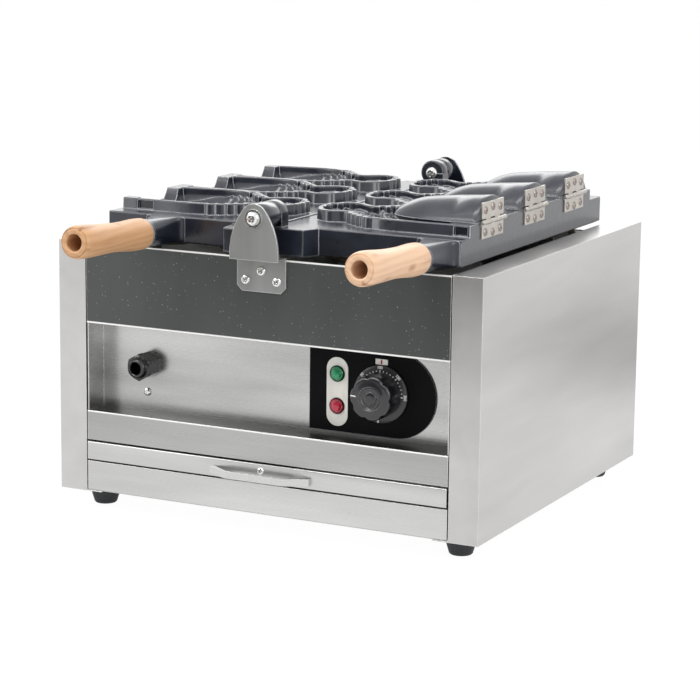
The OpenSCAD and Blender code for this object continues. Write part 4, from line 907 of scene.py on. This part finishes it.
def dial_number(text, angle):
    """A raised number on the skirt that stands outward."""
    words = bpy.data.curves.new(f"dial_number_{text}", "FONT")
    words.body, words.size, words.align_x, words.align_y = text, NUMBER_SIZE * MM, "CENTER", "CENTER"
    words.extrude = MARK_DEPTH / 2 * MM
    words.offset = NUMBER_WEIGHT * MM
    words.materials.append(FINISHES["mark_white"])
    sign = bpy.data.objects.new(f"dial_number_{text}", words)
    out = Vector((math.cos(angle), -MARK_DEPTH / 2 / NUMBER_RADIUS, math.sin(angle)))
    upright = Matrix.Rotation(math.pi / 2 - angle, 4, "Y") @ Matrix.Rotation(math.pi / 2, 4, "X")
    sign.matrix_world = Matrix.Translation(TO_ROW @ (DIAL + out * NUMBER_RADIUS)) @ upright
    bpy.context.scene.collection.objects.link(sign)
    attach(sign, "dial")


for i in range(-TICKS_RIGHT, TICKS_LEFT + 1):
    angle = math.radians(DIAL_TOP + i * TICK_TURN)
    numbered = i % TICKS_PER_NUMBER == 0
    start, end = TICK_LOW - LONGER_IN * numbered, TICK_HIGH + LONGER_OUT * numbered
    middle = DIAL + Vector((math.cos(angle), 0, math.sin(angle))) * (start + end) / 2
    name = f"dial_tick_{i + TICKS_RIGHT:02d}"
    facing_bar(name, middle, angle, end - start, TICK_WIDTH, "mark_white", "dial")
    if numbered:
        dial_number(str(TOP_NUMBER - i // TICKS_PER_NUMBER * NUMBER_STEP), angle)
dial_number("0", math.radians(DIAL_ZERO))

# Knob: a fluted grip with a ring and a plain cap, on its skirt. Each station of the grip is its radius, its
# place along Y, and its share of the flutes' depth

KNOB_FACE, SKIRT_BACK, SKIRT_RADIUS = cabinet_box("dial_knob")[0].y, DIAL.y + 2.5, 29.5
FLUTES, FLUTE_TURN, FLUTE_DEPTH, POINTER, POINTER_RADIUS = 7, math.radians(203), 1.7, math.radians(176), 18.2
GRIP = [(22.9, DIAL.y + 0.2, 1), (22.7, KNOB_FACE + 6, 1), (22.5, KNOB_FACE + 3, 1),
        (22.1, KNOB_FACE + 1.6, 1), (21.3, KNOB_FACE + 0.7, 0.9), (20.2, KNOB_FACE + 0.25, 0.7),
        (18.5, KNOB_FACE + 0.1, 0.3), (14.2, KNOB_FACE + 0.1, 0), (13.2, KNOB_FACE - 0.3, 0),
        (12.2, KNOB_FACE - 0.3, 0), (11.0, KNOB_FACE + 0.5, 0), (10.0, KNOB_FACE + 1.7, 0),
        (7.2, KNOB_FACE + 1.9, 0), (6.6, KNOB_FACE + 0.7, 0), (5.8, KNOB_FACE + 0.2, 0),
        (2.5, KNOB_FACE + 0.1, 0)]


def fluted(radius, y, share, around=168):
    """One ring of the grip: shallow flutes between broad lobes."""
    ring = []
    for i in range(around):
        turn = 2 * math.pi * i / around
        dip = (0.5 + 0.5 * math.cos(FLUTES * (turn - FLUTE_TURN))) ** 4
        here = radius - FLUTE_DEPTH * share * dip
        ring.append((DIAL.x + here * math.cos(turn), y, DIAL.z + here * math.sin(turn)))
    return ring


dress(loft("knob_grip", [fluted(*station) for station in GRIP]), "knob_grey", "dial", ["dial_knob"],
      crease=32)
SKIRT = [(SKIRT_RADIUS - 0.4, 0), (SKIRT_RADIUS, 0.3), (SKIRT_RADIUS, 1.6), (SKIRT_RADIUS - 0.3, 2.1),
         (SKIRT_RADIUS - 0.9, 2.5), (22, 2.5)]
skirt = lathe("knob_skirt", SKIRT, (DIAL.x, SKIRT_BACK, DIAL.z), (0, -1, 0), 96)
dress(skirt, "skirt_grey", "dial", ["dial_knob"], crease=40)
shaft = lathe("knob_shaft", [(3, 0), (3, 14)], (DIAL.x, SKIRT_BACK + 13, DIAL.z), (0, -1, 0), 24)
dress(shaft, "bright_steel", "dial", ["dial_knob"])
middle = Vector((DIAL.x + POINTER_RADIUS * math.cos(POINTER), KNOB_FACE + 0.1,
                 DIAL.z + POINTER_RADIUS * math.sin(POINTER)))
facing_bar("knob_pointer", middle, POINTER, 5.6, 1.2, "mark_white", "dial", 0.3)

index_low, index_high = cabinet_box("dial_index")
middle = Vector(((index_low.x + index_high.x) / 2, index_low.y, (index_low.z + index_high.z) / 2))
facing_bar("index_line", middle, math.pi / 2, index_high.z - index_low.z - 1.6, 1.7, "mark_red", "cabinet",
           0.15)

# Raised rings round the lamps

PLATE_FACE, SEAT_INNER, SEAT_OUTER, SEAT_HEIGHT = cabinet_box("lamp_plate")[0].y, 6.9, 8.3, 1.6
SEAT = [(SEAT_INNER, 0), (SEAT_OUTER, 0), (SEAT_OUTER, SEAT_HEIGHT * 0.6), (SEAT_OUTER - 0.35, SEAT_HEIGHT),
        (SEAT_INNER + 0.3, SEAT_HEIGHT), (SEAT_INNER, SEAT_HEIGHT * 0.7), (SEAT_INNER, 0)]

for node in ("power_lamp", "heat_lamp"):
    low, high = cabinet_box(node)
    place = ((low.x + high.x) / 2, PLATE_FACE + 0.1, (low.z + high.z) / 2)
    ring = lathe(f"{node}_ring", SEAT, place, (0, -1, 0), 48, caps=False)
    dress(ring, "seat_black", "cabinet")

# Floor and surroundings


def screen(name, corners, finish):
    """A flat studio surface that isn't part of the object."""
    mesh = bpy.data.meshes.new(name)
    mesh.from_pydata(corners, [], [(0, 1, 2, 3)])
    mesh.materials.append(finish.material)
    made = bpy.data.objects.new(name, mesh)
    bpy.context.scene.collection.objects.link(made)
    made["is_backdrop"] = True
    return made


def in_view(finish):
    """1 for what the camera sees, directly or through metal and glass, and 0 for falling light."""
    camera_ray, glossy_ray, transmission_ray = (finish.node("ShaderNodeLightPath", out=f"Is {kind} Ray")
                                                for kind in ("Camera", "Glossy", "Transmission"))
    return finish.steps(camera_ray + glossy_ray + transmission_ray, 0, 1)


ground = Finish("studio_ground", Base_Color=(0.86, 0.86, 0.86), Roughness=0.8)
white = ground.node("ShaderNodeEmission", {0: (1, 1, 1, 1), 1: 1.04})
lit = Signal(ground, ground.shader.outputs[0])
shown = ground.node("ShaderNodeMixShader", {0: in_view(ground) * 0.93, 1: lit, 2: white})
ground.tree.links.new(shown.socket, ground.tree.nodes["Material Output"].inputs[0])
screen("studio_floor", [(-8, -8, 0), (8, -8, 0), (8, 8, 0), (-8, 8, 0)], ground)

# Dark cards that only the machine mirrors

CARDS = {
    "studio_flag": [(-380, -520, 90), (160, -520, 90), (160, -520, 520), (-380, -520, 520)],
    "side_flag": [(430, 850, -14), (680, 850, -14), (680, 1350, -14), (430, 1350, -14)],
}
dark = Finish("studio_card", Base_Color=(0.10, 0.10, 0.10), Roughness=0.9)
for name, corners in CARDS.items():
    flag = screen(name, [TO_ROW @ Vector(p) for p in corners], dark)
    flag.visible_camera = flag.visible_diffuse = flag.visible_transmission = flag.visible_shadow = False

world = bpy.data.worlds.new("studio_world")
bpy.context.scene.world = world
world.use_nodes = True
sky = Finish("studio_world", tree=world.node_tree)
falling = sky.node("ShaderNodeBackground", {0: (1, 1, 1, 1), 1: 0.5})
backdrop = sky.node("ShaderNodeBackground", {0: (1, 1, 1, 1), 1: 1.0})
shown = sky.node("ShaderNodeMixShader", {0: in_view(sky), 1: falling, 2: backdrop})
sky.tree.links.new(shown.socket, sky.tree.nodes["World Output"].inputs[0])

bpy.context.scene.view_settings.view_transform = "Standard"

low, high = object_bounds()
